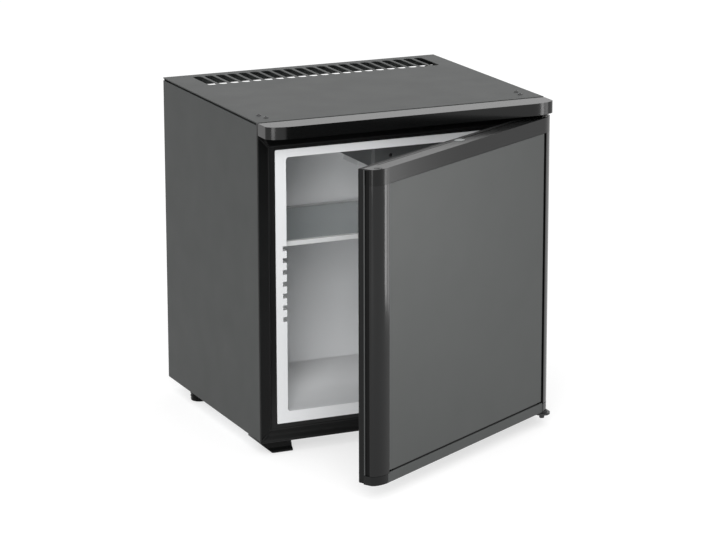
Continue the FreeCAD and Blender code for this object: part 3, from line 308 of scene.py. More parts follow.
def lathe(profile, steps=40, hoop=False):
    # turns (radius, height) points round the upright axis; a radius of 0 closes the end
    # a hoop's profile closes on itself instead
    shape = bmesh.new()
    rings = []
    for radius, height in profile:
        spots = circleOutline(0, 0, radius, steps if radius > 0 else 1)
        rings.append([shape.verts.new(Vector((*spot, height)) * mm) for spot in spots])
    for ring, after in zip(rings, rings[1:] + rings[:1] if hoop else rings[1:]):
        skin(shape, ring, after)
    return meshOf(shape)


def stood(mesh, place, way=(0, 0, 1), spin=0.0):
    # moves a mesh made at the origin to its place, its upright axis along way
    tilt = Vector(way).to_track_quat("Z", "Y").to_matrix().to_4x4()
    turn = tilt @ Matrix.Rotation(math.radians(spin), 4, "Z")
    mesh.transform(Matrix.Translation(Vector(place) * mm) @ turn)
    return mesh


def joined(meshes):
    shape = bmesh.new()
    for mesh in meshes:
        shape.from_mesh(mesh)
    return meshOf(shape)


def combine(base, tool, operation="DIFFERENCE"):
    # one boolean step, which uses up both meshes
    held = [bpy.data.objects.new("shaping", mesh) for mesh in (base, tool)]
    for item in held:
        scene.collection.objects.link(item)
    step = held[0].modifiers.new("step", "BOOLEAN")
    step.operation = operation
    step.solver = "EXACT"
    step.object = held[1]
    result = bpy.data.meshes.new_from_object(held[0].evaluated_get(bpy.context.evaluated_depsgraph_get()))
    for item in held:
        bpy.data.objects.remove(item)
    return result


def carved(base, *tools):
    for tool in tools:
        base = combine(base, tool)
    return base


def nodeBox(name):
    # low corner, high corner and middle of a drawn piece
    low, high = (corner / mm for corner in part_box(name))
    return low, high, [(a + b) / 2 for a, b in zip(low, high)]


def softenEdges(piece, radius, steps=3, angle=sharpDegrees):
    # rounds the sharp edges and keeps the broad faces flat
    edge = piece.modifiers.new("soft edges", "BEVEL")
    edge.width = radius * mm
    edge.segments = steps
    edge.limit_method = "ANGLE"
    edge.angle_limit = math.radians(angle)
    edge.use_clamp_overlap = True
    even = piece.modifiers.new("flat faces stay flat", "WEIGHTED_NORMAL")
    even.keep_sharp = True
    even.weight = 100


def addPiece(name, mesh, finish=None, body="cabinet", replaces=None, edge=None, angle=sharpDegrees, steps=3,
             slot=None):
    # a piece replaces the drawn one with its name, and has that one's finish unless one is given
    replaces = replaces or snakeName(name)
    finish = finish or finishNameOfNode(replaces)
    if body == "door":
        mesh.transform(doorSwing)
    piece = bpy.data.objects.new(name, mesh)
    scene.collection.objects.link(piece)
    mesh.name = name
    mesh.materials.clear()
    mesh.materials.append(finishes[finish])
    for face in mesh.polygons:
        face.use_smooth = True
        face.material_index = 0
    if edge:
        softenEdges(piece, edge, steps, angle)
    else:
        mesh.set_sharp_from_angle(angle=math.radians(angle))
    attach(piece, body)
    if replaces in nodes:
        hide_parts(replaces)
    snakeName(slot or finish)
    return piece


# the drawn pieces that stay: rounded edges and a finish each

edgeRounding = {
    "side_panel_left": 0.35, "side_panel_right": 0.35, "top_panel": 0.35, "rear_wall": 0.2,
    "base_panel": 0.2, "rear_crossbar": 0.25, "shelf_glass": 0.4, "evaporator_cover": 0.8,
    "evaporator": 0.15, "thermostat": 0.5, "drip_tray": 0.4, "drain_cup": 0.5, "unit_brackets": 0.3,
    "terminal_box": 0.8, "lower_hinge_bracket": 0.4, "upper_hinge_plate": 0.4, "light_switch": 0.5,
    "door_panel": 0.4, "foam_plug": 0.4, "bottom_rail": 0.5, "door_core_sheet": 0.2, "door_foam": 0.3,
    "door_liner": 1.2, "switch_magnet": 0.4, "condenser_fins": 0.15, "temperature_sensor": 0.3
}
# the lid takes the lighter copy of the cabinet's paint, whose extra lightness is painted light
ownFinish = {"top_panel": "lidPaint", "bottom_rail": "railPaint"}
# points of a drawn piece that lie closer than this become one
weldGap = 0.01


def dressCadNode(name, node):
    # a drawn piece keeps its own points: the rounding is all in modifiers
    node.material_slots[0].link = "OBJECT"
    node.material_slots[0].material = finishes[ownFinish.get(name, finishNameOfNode(name))]
    radius = edgeRounding.get(name)
    if radius is None:
        return
    weld = node.modifiers.new("join", "WELD")
    weld.merge_threshold = weldGap * mm
    flat = node.modifiers.new("flat faces", "DECIMATE")
    flat.decimate_type = "DISSOLVE"
    flat.angle_limit = math.radians(flatDegrees)
    softenEdges(node, radius)


for name, node in sorted(nodes.items()):
    dressCadNode(name, node)
print("drawn pieces finished:", len(nodes))


# the rounded nose that the fascia and the door share, seen from above

def ovalCorner(look, side, front, inset=0.0, start=0.0):
    # from the flat front round to the side, as a quarter of an oval; start skips its first part
    wide, deep = look.bendWidth, look.bendDepth
    begin = math.asin(min(1.0, start / (wide - inset)))
    points = []
    for step in range(look.bendSteps + 1):
        angle = begin + (math.pi / 2 - begin) * step / look.bendSteps
        points.append((side * (cabinet.half - wide + (wide - inset) * math.sin(angle)),
                       front + deep - (deep - inset) * math.cos(angle)))
    return points


def noseOutline(look, front, back, inset=0.0):
    reach = cabinet.half - inset
    left, right = (ovalCorner(look, side, front, inset) for side in (-1, 1))
    return [(-reach, back), *left[::-1], *right, (reach, back)]


# fascia over the door, a hollow moulding open to the back

fascia = Look(
    reach=42.0, low=469.7, top=487.4, wall=2.5, pinHole=4.0, edge=1.4, bendWidth=40.0, bendDepth=15.0,
    bendSteps=24
)


def makeFascia(look):
    back, low, top, wall = cabinet.front, look.low, look.top, look.wall
    front = back - look.reach
    shell = carved(outlineBlock(noseOutline(look, front, back), low, top),
                   outlineBlock(noseOutline(look, front, back + past, wall), low + wall, top - wall),
                   pin(hingeX, hingeY, look.pinHole, low - past, low + wall + past))
    addPiece("fasciaTrim", shell, replaces="top_fascia", edge=look.edge)


makeFascia(fascia)
print("fascia moulded")


# ends of the packing under the lid's side edges, at the open back

lidPacking = Look(outer=220.0, wall=1.5, setback=0.9, length=12.0, low=474.0, high=487.2, edge=0.3)


def makeLidPacking(look):
    rear = cabinet.rear - look.setback
    ends = sideBoxes(look.outer - look.wall, look.outer, rear - look.length, rear, look.low, look.high)
    addPiece("lidPacking", joined(ends), "gasketRubber", edge=look.edge)


makeLidPacking(lidPacking)


# front frame round the opening: raised outer band, slanted step, recess, and four mitred corners

frontFrame = Look(
    half=225.25, low=19.0, wrap=4.3, band=17.0, wall=3.0, step=1.5, slant=1.4, bandTop=451.5,
    outerCorner=0.3, bandCorner=0.6, stepCorner=0.5, returnLow=17.5, returnDepth=48.0, edge=0.45,
    # a seam across each corner, with a raised weld along its first part
    mitreInset=0.6, weldWidth=1.6, weldRise=0.6, weldRoot=2.0, weldLength=9.2, seamWidth=4.2, seamDepth=1.0,
    seamLength=15.5
)


def rectLoop(half, low, high, radius, depth):
    return [(x, depth, z) for x, z in roundedRect(-half, half, low, high, radius)]


def makeFrontFrame(look):
    half, face, floor, bandTop = cabinet.half, cabinet.front, cabinet.floor, look.bandTop
    bandHalf, bandLow = half - look.band, floor + look.band
    slant, deep, inset = look.slant, face + look.step, look.mitreInset
    outside = (look.half, look.low, cabinet.foldLow, look.outerCorner)
    mouth = (cabinet.lipHalf, cabinet.lipLow, cabinet.lipHigh, cabinet.lipCorner)
    ring = loopShell([
        rectLoop(*outside, face + look.wrap),
        rectLoop(*outside, face),
        rectLoop(bandHalf, bandLow, bandTop, look.bandCorner, face),
        rectLoop(bandHalf - slant, bandLow + slant, bandTop - slant, look.stepCorner, deep),
        rectLoop(*mouth, deep),
        rectLoop(*mouth, face + look.wall),
    ])
    foot = boxBlock(-half, half, face, face + look.returnDepth, look.returnLow, floor)
    ring = combine(ring, foot, "UNION")

    def strip(start, along, length, width, low, high):
        across = Vector((-along.y, along.x)) * width / 2
        end = start + along * length * math.sqrt(2)
        corners = [start - across, end - across, end + across, start + across]
        return outlineBlock(corners, low, high, "front")

    for side in (-1, 1):
        for z, rise in ((floor, 1), (bandTop + look.band, -1)):
            line = (Vector((side * (half - inset), z + rise * inset)), Vector((-side, rise)).normalized())
            seam = strip(*line, look.seamLength, look.seamWidth, face - past, face + look.seamDepth)
            weld = strip(*line, look.weldLength, look.weldWidth, face - look.weldRise, face + look.weldRoot)
            ring = combine(combine(ring, seam), weld, "UNION")
    addPiece("frontFrame", ring, edge=look.edge, angle=20.0)


makeFrontFrame(frontFrame)
print("front frame moulded")


# door: side profiles with a bead along their back edge, top trim and bottom caps of the same section

doorProfile = Look(
    # side, where it ends in front, and how far in its tongue reaches behind the panel
    profiles=Look(handle=(-1, 197.0, 187.0), hinge=(1, 202.7, 186.1)), tongueFront=3.5, tongueBack=5.5,
    # the outer side, measured back from the front: a groove, and a round bead at its end
    grooveFrom=14.0, grooveTo=20.7, grooveDepth=2.0, grooveSlope=0.5, shoulder=0.3, bead=1.3,
    beadDegrees=(-40, 91, 13), edge=0.35,
    # a lighter bead pressed in along both sides, which is a painted highlight line, and matt near-black strips in
    # both side grooves and in the gap below the panel, which are painted shade
    pressedLow=35.7, lightBead=Look(inner=224.2, outer=225.1, near=21.5, far=23.4, high=465.0, edge=0.3),
    # matt strips laid in the side grooves, as painted shade there
    strip=Look(inner=222.8, outer=223.5, near=14.3, far=20.8, high=463.4),
    lowStrip=Look(left=-187.0, right=186.1, near=1.0, far=3.0, low=36.7, high=40.3)
)


def profileSection(look, side, edge, tongue):
    # seen from above: nose, side with its groove and bead, then back inside to the tongue
    front, back, half, wall = door.front, door.profileBack, cabinet.half, door.wall
    start = edge - (half - door.bendWidth)
    slope, bead = look.grooveSlope, look.bead
    shy = half - look.grooveDepth
    groove = [(half, look.grooveFrom), (shy, look.grooveFrom + slope), (shy, look.grooveTo),
              (half - look.shoulder, look.grooveTo + slope)]
    corner = [around(half - bead, back - bead, bead, math.radians(turn))
              for turn in range(*look.beadDegrees)]
    end = [(edge + wall, look.tongueBack), (tongue, look.tongueBack), (tongue, look.tongueFront),
           (edge, look.tongueFront)]
    return [*ovalCorner(door, side, front, 0.0, start),
            *((side * x, front + y) for x, y in groove),
            *((side * x, y) for x, y in corner + [(half - wall, back)]),
            *ovalCorner(door, side, front, wall, start + wall)[::-1],
            *((side * x, front + y) for x, y in end)]


def makeDoorProfiles(look):
    front, low = door.front, look.pressedLow
    for name, (side, edge, tongue) in look.profiles.items():
        bar = outlineBlock(profileSection(look, side, edge, tongue), door.profileLow, door.trimLow)
        addPiece(name + "Profile", bar, body="door", edge=look.edge)

    def bothSides(line):
        return sideBoxes(line.inner, line.outer, front + line.near, front + line.far, low, line.high)

    bead, below = look.lightBead, look.lowStrip
    strips = bothSides(look.strip)
    strips.append(boxBlock(below.left, below.right, front + below.near, front + below.far,
                           below.low, below.high))
    # the lighter beads paint a highlight line along the profiles' back edge
    addPiece("profileBeads", joined(bothSides(bead)), "beadPlastic", "door", edge=bead.edge,
             slot="profilePlastic")
    # near-black strips in the grooves and in the gap below the panel, as painted shade
    addPiece("profileStrips", joined(strips), "stripPlastic", "door", slot="profilePlastic")


makeDoorProfiles(doorProfile)

doorTrim = Look(
    plugLong=14.0, plugShort=10.0, plugBack=17.5, plugRound=0.9, bushRadius=5.0, bushLength=13.0,
    grooveTop=463.8, lineBack=20.4, lineWidth=1.5, lineDepth=1.2, lineFrom=12.0, lineTo=196.0, edge=1.0,
    ringSteps=40, dishSteps=32,
    # ring and dish cut into the top round the spare hinge hole's plug: radius, height over the top
    ring=[(5.5, -0.9), (5.5, 1.0), (4.4, 1.0), (4.4, -0.9)],
    dish=[(0, -0.6), (2.2, -0.45), (3.2, 0.2), (3.2, 1.0), (0, 1.0)]
)


def makeDoorTrim(look):
    front, back, wall = door.front, door.profileBack, door.wall
    low, top, half = door.trimLow, door.high, cabinet.half
    tools = [outlineBlock(noseOutline(door, front, back + past, wall), low - past, top - wall),
             pin(hingeX, hingeY, look.bushRadius, top - look.bushLength, top + past)]
    y = front + look.plugBack
    long, short = look.plugLong / 2, look.plugShort / 2
    hole = roundedRect(-long, long, y - short, y + short, short * look.plugRound)
    tools.append(outlineBlock(hole, top - wall - past, top + past))
    # the profiles' grooves run on up the trim's ends
    near, far = doorProfile.grooveFrom, doorProfile.grooveTo + doorProfile.grooveSlope
    tools += sideBoxes(half - doorProfile.grooveDepth, half + past, front + near, front + far, low - past,
                       look.grooveTop)
    # round plug in the hinge hole on the handle side, for a door hung the other way
    tools += [stood(shape, (-hingeX, hingeY, top))
              for shape in (lathe(look.ring, look.ringSteps, hoop=True), lathe(look.dish, look.dishSteps))]
    # the line where the trim clips on along its back edge, either side of the plug
    line = front + look.lineBack
    tools += sideBoxes(look.lineFrom, look.lineTo, line, line + look.lineWidth,
                       top - look.lineDepth, top + past)
    cap = carved(outlineBlock(noseOutline(door, front, back), low, top), *tools)
    addPiece("doorTopTrim", cap, body="door", edge=look.edge)


makeDoorTrim(doorTrim)

doorCaps = Look(width=24.0, edge=1.0)


def makeDoorCaps(look):
    front, back, wall, low, top = (door[key] for key in ("front", "profileBack", "wall", "low", "capTop"))
    reach = cabinet.half - look.width
    caps = carved(outlineBlock(noseOutline(door, front, back), low, top),
                  outlineBlock(noseOutline(door, front, back + past, wall), low + wall, top + past),
                  boxBlock(-reach, reach, front - farPast, back + farPast, low - farPast, top + farPast),
                  pin(hingeX, hingeY, doorTrim.bushRadius, low - past, low + doorTrim.bushLength))
    addPiece("doorEndCaps", caps, body="door", edge=look.edge)


makeDoorCaps(doorCaps)
print("door profiles, trim and caps moulded")


# magnetic gasket: a pleated hollow section swept round the door

gasket = Look(
    inset=11.0, width=13.0, corner=10.0, innerCorner=5.0, edge=0.25,
    # across the seal, and out from the door's liner
    section=[(1.6, 0), (11.4, 0), (11.4, 1.0), (12.7, 1.8), (11.5, 2.7), (12.9, 3.7), (13, 5.4),
        (12.3, 6.4), (10.8, 6.7), (7.2, 6.7), (6.5, 6.35), (5.8, 6.7), (2.2, 6.7), (0.7, 6.4), (0, 5.4),
        (0.1, 3.7), (1.5, 2.7), (0.3, 1.8), (1.6, 1.0)]
)


def makeGasket(look):
    loops = []
    for across, out in look.section:
        inset = look.inset + across
        radius = look.corner - (look.corner - look.innerCorner) * across / look.width
        loops.append(rectLoop(cabinet.half - inset, door.low + inset, door.high - inset, radius,
                              door.rimBack + out))
    addPiece("doorGasket", loopShell(loops), body="door", edge=look.edge, angle=24.0, steps=2)


makeGasket(gasket)
print("gasket moulded")


# screws: one pan head with a cross recess, set wherever the cabinet has one

screwLook = Look(
    radius=3.6, height=1.6, shank=1.6, crossLong=2.2, crossWide=0.65, crossDeep=1.1, pitch=0.8,
    threadFrom=0.1, threadTo=0.5, threadDepth=0.25, spin=17.0, spinStep=41.0, turnSteps=32,
    # the head's dome, as shares of its radius and height
    dome=[(0, 1.0), (0.45, 0.985), (0.7, 0.88), (0.88, 0.66), (0.97, 0.35), (1.0, 0.12), (0.99, 0.0)]
)


def crossOutline(long, wide):
    points, corner = [], [(long, -wide), (long, wide), (wide, wide)]
    for quarter in range(4):
        points += corner
        corner = [(-y, x) for x, y in corner]
    return points


def screwMesh(look, shank, height, radius):
    head = [(share * radius, rise * height) for share, rise in look.dome]
    thread = []
    for number in range(int(shank / look.pitch)):
        turn = -number * look.pitch
        thread += [(look.shank, turn - look.threadFrom),
                   (look.shank - look.threadDepth, turn - look.threadTo)]
    screw = lathe([*head, (look.shank, 0.0), *thread, (0, -shank)], look.turnSteps)
    cross = crossOutline(look.crossLong, look.crossWide)
    return combine(screw, outlineBlock(cross, height - look.crossDeep, height + past))


def setScrews(name, places, way, shank, height=screwLook.height, radius=screwLook.radius, **more):
    screws = []
    for number, place in enumerate(places):
        spin = screwLook.spin + number * screwLook.spinStep
        screws.append(stood(screwMesh(screwLook, shank, height, radius), place, way, spin))
    addPiece(name, joined(screws), angle=40.0, **more)


cabinetScrews = Look(
    lidSpots=((200.5, 27.0), (204.0, 46.0)), lidShank=6.0, boxInset=7.0, boxShank=6.0, stopShank=0.4
)


def bracketScrewSpots():
    low, high, middle = nodeBox("bracket_screws")
    return [(middle[0], y) for y in (low.y + screwLook.radius, high.y - screwLook.radius)]


def boxScrewSpots():
    low, high = nodeBox("terminal_box_cover")[:2]
    inset = cabinetScrews.boxInset
    return [(x, z) for x in (low.x + inset, high.x - inset) for z in (low.z + inset, high.z - inset)]


def setAllScrews(look):
    lidSpots = [(side * x, cabinet.front + row, cabinet.top)
                for side in (-1, 1) for x, row in look.lidSpots]
    setScrews("lidScrews", lidSpots, (0, 0, 1), look.lidShank, finish="lidScrewSteel", slot="screwSteel")
    low, high = nodeBox("bracket_screws")[:2]
    head = low.z + screwLook.height
    bracketSpots = [(*spot, head) for spot in bracketScrewSpots()]
    setScrews("bracketScrews", bracketSpots, (0, 0, -1), high.z - head)
    rear = nodeBox("terminal_box_cover")[1].y
    boxSpots = [(x, rear, z) for x, z in boxScrewSpots()]
    setScrews("boxScrews", boxSpots, (0, 1, 0), look.boxShank, replaces="terminal_box_screws")
    # short domed rest for the door, its head down
    low, high, (x, y, _) = nodeBox("stop_screw")
    shank = look.stopShank
    head = high.z - shank
    setScrews("stopScrew", [(x, y, head)], (0, 0, -1), shank, head - low.z, (high.x - low.x) / 2)


setAllScrews(cabinetScrews)
print("screws set")


# thermostat knob with a fluted rim, a grip bar and a pointer, and numbers on the cover round it

knob = Look(
    radius=11.0, depth=12.0, clearance=0.4, flutes=26, fluteDepth=0.45, fluteSteps=6, gripWidth=4.0,
    gripHeight=3.0, gripRound=0.9, shaft=3.0, edge=0.45,
    # line cut into the grip
    pointerHalf=0.4, pointerFrom=3.0, pointerStop=0.8, pointerDepth=0.5,
    # degrees of the first number, and of the sweep to the last
    numbers=7, firstNumber=90.0, sweep=270.0, numberRing=15.2, numberSize=4.2, numberDepth=0.1
)


def makeKnob(look):
    low, high, (x, _, z) = nodeBox("thermostat_knob")
    back = nodeBox("evaporator_cover")[0].y - look.clearance
    front = back - look.depth
    gripFront = front - look.gripHeight
    rim = []
    count = look.flutes * look.fluteSteps
    for step in range(count):
        angle = math.tau * step / count
        rim.append(around(x, z, look.radius - look.fluteDepth * wave(angle * look.flutes), angle))
    half = look.gripWidth / 2
    reach = look.radius - half
    grip = roundedRect(x - half, x + half, z - reach, z + reach, half * look.gripRound)
    left, right = x - look.pointerHalf, x + look.pointerHalf
    start, tip = z + look.pointerFrom, z + reach - look.pointerStop
    pointer = [(left, start), (right, start), (right, tip), (left, tip)]
    bar = outlineBlock(grip, gripFront, front + past, "front")
    disc = combine(outlineBlock(rim, front, back, "front"), bar, "UNION")
    disc = combine(disc, outlineBlock(pointer, gripFront - past, gripFront + look.pointerDepth, "front"))
    disc = combine(disc, pin(x, z, look.shaft, back - past, high.y, "front"), "UNION")
    addPiece("thermostatKnob", disc, body="knob", edge=look.edge, angle=40.0)


def makeDialNumbers(look):
    x, _, z = nodeBox("thermostat_knob")[2]
    coverFront = nodeBox("evaporator_cover")[0].y
    marks = []
    for number in range(look.numbers + 1):
        angle = math.radians(look.firstNumber - look.sweep * number / look.numbers)
        across, up = around(x, z, look.numberRing, angle)
        text = bpy.data.curves.new("mark", "FONT")
        text.body = str(number)
        text.size = look.numberSize * mm
        text.extrude = look.numberDepth * mm
        text.align_x, text.align_y = "CENTER", "CENTER"
        holder = bpy.data.objects.new("mark", text)
        scene.collection.objects.link(holder)
        shape = bpy.data.meshes.new_from_object(holder.evaluated_get(bpy.context.evaluated_depsgraph_get()))
        bpy.data.objects.remove(holder)
        upright = Matrix.Rotation(math.pi / 2, 4, "X")
        shape.transform(Matrix.Translation(Vector((across, coverFront, up)) * mm) @ upright)
        marks.append(shape)
    addPiece("dialNumbers", joined(marks), "knobPlastic")


makeKnob(knob)
makeDialNumbers(knob)

lens = Look(ribs=20, ribSteps=4, ribDepth=0.7, edge=0.25)


def makeLens(look):
    low, high = nodeBox("lamp_lens")[:2]
    steps = look.ribs * look.ribSteps
    outline = []
    for step in range(steps + 1):
        rise = look.ribDepth * wave(math.tau * step / look.ribSteps)
        outline.append((low.x + (high.x - low.x) * step / steps, low.z + rise))
    outline += [(high.x, high.z), (low.x, high.z)]
    addPiece("lampLens", outlineBlock(outline, low.y, high.y, "front"), edge=look.edge, angle=60.0)


makeLens(lens)
print("knob, numbers and lens made")


# terminal box cover with an engraved border, and the gland in it

boxCover = Look(
    corner=4.0, border=3.2, borderCorner=2.4, lineWidth=0.9, lineCorner=1.8, lineDepth=0.6, entry=6.5,
    screwHole=1.7, screwHoleSteps=20, edge=0.6
)


def makeBoxCover(look):
    low, high, (x, _, z) = nodeBox("terminal_box_cover")
    border, line = look.border, look.border + look.lineWidth

    def plate(inset, corner, near, far):
        outline = roundedRect(low.x + inset, high.x - inset, low.z + inset, high.z - inset, corner)
        return outlineBlock(outline, near, far, "front")

    ring = combine(plate(border, look.borderCorner, high.y - look.lineDepth, high.y + past),
                   plate(line, look.lineCorner, high.y - farPast, high.y + farPast))
    through = (low.y - past, high.y + past, "front")
    holes = [pin(*spot, look.screwHole, *through, look.screwHoleSteps) for spot in boxScrewSpots()]
    entry = pin(x, z, look.entry, *through)
    cover = carved(plate(0.0, look.corner, low.y, high.y), ring, entry, *holes)
    addPiece("boxCover", cover, replaces="terminal_box_cover", edge=look.edge)


makeBoxCover(boxCover)

gland = Look(
    neck=6.5, neckLap=0.5, bore=3.5, headLength=14.0, edge=0.2, turnSteps=48, neckSteps=40, boreSteps=32,
    # hexagon nut with turned corners
    nut=9.0, nutLength=6.0, nutFace=8.2, nutTurn=1.0,
    # ribbed nose in it, whose radius falls to the end; each rib's steps are shares of its length
    nose=7.9, noseFall=1.4, noseSunk=0.2, noseRise=0.6, ribs=5, ribDepth=0.9, ribStep=0.55, ribFoot=0.7
)


def roundBar(radius, low, high, steps):
    return lathe([(0, low), (radius, low), (radius, high), (0, high)], steps)


def makeGland(look):
    low, high, (x, _, z) = nodeBox("cable_gland")
    length = high.y - low.y
    face = length - look.headLength
    nutEnd = face + look.nutLength
    inner, turn = look.nutFace, look.nutTurn
    turned = lathe([(0, face - past), (inner, face - past), (inner, face), (inner + turn, face + turn),
                    (inner + turn, nutEnd - turn), (inner, nutEnd), (0, nutEnd)], look.turnSteps)
    body = combine(pin(0, 0, look.nut, face, nutEnd, steps=6), turned, "INTERSECT")
    start = nutEnd + look.noseRise
    rib = (length - start) / look.ribs
    tip = [(0, face - look.noseSunk), (look.nose, face - look.noseSunk), (look.nose, start)]
    for number in range(look.ribs):
        radius = look.nose - look.noseFall * number / look.ribs
        waist = radius - look.ribDepth
        at = start + rib * number
        tip += [(radius, at + rib * look.ribStep), (waist, at + rib * look.ribFoot), (waist, at + rib)]
    body = combine(body, lathe([*tip, (0, length)], look.turnSteps), "UNION")
    body = combine(body, roundBar(look.neck, 0, face + look.neckLap, look.neckSteps), "UNION")
    body = combine(body, roundBar(look.bore, -past, length + past, look.boreSteps))
    body.transform(Matrix.Translation(Vector((x, low.y, z)) * mm) @ Matrix.Rotation(-math.pi / 2, 4, "X"))
    addPiece("cableGland", body, edge=look.edge, steps=2)


makeGland(gland)
print("terminal box cover and gland made")


# boiler casing: a rolled sheet with folded end rims, a lap seam, rivets and two straps

boiler = Look(
    rimOut=1.0, edge=0.35, sunk=0.4,
    # each end's folded rim: out from the sheet, in from the end
    rim=[(-3.0, 0.6), (-2.4, 0), (0.2, 0), (1.0, 0.8), (1.0, 3.4), (0, 4.2)], straps=(0.22, 0.78),
    strapWidth=9.0, strapWall=0.6, strapSunk=0.3,
    # the seam stands at this many degrees round the casing
    seam=58.0, seamWidth=7.0, seamWall=0.35, seamEnd=5.0, seamSteps=8, rivets=6, rivetEnd=18.0,
    rivetLift=0.15, turnSteps=72, rivetSteps=16,
    # out from a rivet's middle, and up from the sheet
    rivetHead=[(1.5, -0.4), (1.5, 0.1), (1.05, 0.5), (0, 0.7)]
)


def makeBoiler(look):
    low, high, (x, y, _) = nodeBox("boiler_casing")
    tall = high.z - low.z
    wall = (high.x - low.x) / 2 - look.rimOut
    end = [(0, look.rim[0][1])] + [(wall + out, rise) for out, rise in look.rim]
    can = lathe(end + [(radius, tall - rise) for radius, rise in end[::-1]], look.turnSteps)
    addPiece("boilerCasing", stood(can, (x, y, low.z)), edge=look.edge, steps=2)

    pieces = []
    inner, outer, half = wall - look.strapSunk, wall + look.strapWall, look.strapWidth / 2
    band = [(inner, -half), (outer, -half), (outer, half), (inner, half)]
    for share in look.straps:
        strap = lathe(band, look.turnSteps, hoop=True)
        pieces.append(stood(strap, (x, y, low.z + tall * share)))
    seam = math.radians(look.seam)
    outward = Vector((math.cos(seam), math.sin(seam), 0))
    for number in range(look.rivets):
        up = low.z + look.rivetEnd + (tall - 2 * look.rivetEnd) * number / (look.rivets - 1)
        head = lathe(look.rivetHead, look.rivetSteps)
        pieces.append(stood(head, Vector((x, y, up)) + outward * (wall + look.rivetLift), outward))
    # lap of the sheet along the rivets
    turns = [seam + (step / look.seamSteps - 0.5) * look.seamWidth / wall
             for step in range(look.seamSteps + 1)]
    lap = [around(x, y, wall + look.seamWall, turn) for turn in turns]
    lap += [around(x, y, wall - look.sunk, turn) for turn in turns[::-1]]
    pieces.append(outlineBlock(lap, low.z + look.seamEnd, high.z - look.seamEnd))
    addPiece("boilerStraps", joined(pieces), "bracketSteel", angle=30.0)


makeBoiler(boiler)


# weld beads round the absorber vessel's ends

welds = Look(bead=1.1, ripples=60, rippleSteps=4, rippleDepth=0.18, sides=8, endInset=9.0)


def beadRing(look, radius):
    # a ring of weld whose thickness falls and rises with each ripple
    loops = []
    count = look.ripples * look.rippleSteps
    for step in range(count):
        angle = math.tau * step / count
        thick = look.bead * (1 - 2 * look.rippleDepth * wave(angle * look.ripples))
        section = circleOutline(radius, 0, thick, look.sides)
        loops.append([(*around(0, 0, reach, angle), rise) for reach, rise in section])
    return loopShell(loops)


def makeWelds(look):
    low, high, (_, y, z) = nodeBox("absorber_vessel")
    radius = (high.z - low.z) / 2 - look.bead
    beads = [stood(beadRing(look, radius), (end, y, z), (1, 0, 0))
             for end in (low.x + look.endInset, high.x - look.endInset)]
    addPiece("vesselWelds", joined(beads), "unitSteel", angle=180.0)


makeWelds(welds)
print("cooling unit's casing and welds made")


# rear feet: soft rubber cups with grooves round them

rearFoot = Look(
    out=203.0, radius=14.0, edge=0.3, turnSteps=48,
    # share of the radius, and height
    profile=[(0, 0.8), (0.55, 0.8), (0.6, 0), (0.88, 0), (0.93, 0.6), (0.97, 3.0), (0.9, 4.0), (0.9, 5.0),
        (0.985, 6.0), (0.985, 8.4), (0.92, 9.4), (0.92, 10.4), (1, 11.4), (1, 19.0), (0.95, 20.0),
        (0, 20.0)]
)


def makeRearFeet(look):
    low, _, (_, y, _) = nodeBox("rear_feet")
    profile = [(look.radius * share, height) for share, height in look.profile]
    feet = [stood(lathe(profile, look.turnSteps), (side * look.out, y, low.z)) for side in (-1, 1)]
    addPiece("rearFeet", joined(feet), edge=look.edge, steps=2, angle=28.0)


makeRearFeet(rearFoot)


# white liner: a moulded tub with a soft lip, shelf grooves in its sides and a sill along the bottom

liner = Look(
    lipDepth=3.0, cavityHalf=182.3, cavityLow=61.5, cavityHigh=434.7, floorLow=58.0, cavityRear=184.5,
    corner=4.5, wall=2.5, sillRun=12.0, grooves=7, topGroove=302.6, groovePitch=17.33, grooveHeight=7.0,
    grooveHalf=188.3, grooveEnd=169.5, padMargin=6.0,
    # x, z and radius
    holes=((159.0, 420.0, 8.0), (69.0, 394.0, 11.0), (109.0, 371.0, 4.0)),
    # its largest roll, edges that turn enough to be rolled, and the share of the roll that each kind has
    roll=6.0, rollDegrees=28.0, rollOf=Look(bottom=0.6, mouth=0.42, groove=0.33, outer=0.2, sill=0.35),
    # where the kinds of edge lie
    lipBand=3.2, mouthBand=1.0, lowBand=0.5, grooveZone=(190.0, 315.0), longEdge=50.0, near=0.1
)


def linerEdge(look, edge):
    # how strongly an edge of the liner is rolled, from where it runs
    first, second = (vertex.co / mm for vertex in edge.verts)
    middle = (first + second) / 2
    side, back = abs(middle.x), middle.y - cabinet.front
    length = abs(first.y - second.y)
    band, near, rolls = look.lipBand, look.near, look.rollOf
    low, high = look.grooveZone
    if max(first.y, second.y) < cabinet.front + near:
        lipLow, lipHigh = cabinet.lipLow + band, cabinet.lipHigh - band
        if side > cabinet.lipHalf - band or not lipLow < middle.z < lipHigh:
            return rolls.outer
        if middle.z < look.cavityLow + look.lowBand:
            return rolls.bottom
        if side < look.cavityHalf - look.mouthBand or not low < middle.z < high:
            return rolls.mouth
        return rolls.groove
    if length < near and abs(back - look.sillRun) < near:
        return rolls.sill
    if side < look.cavityHalf + near and length > look.longEdge and low < middle.z < high:
        return rolls.groove
    return 0.0


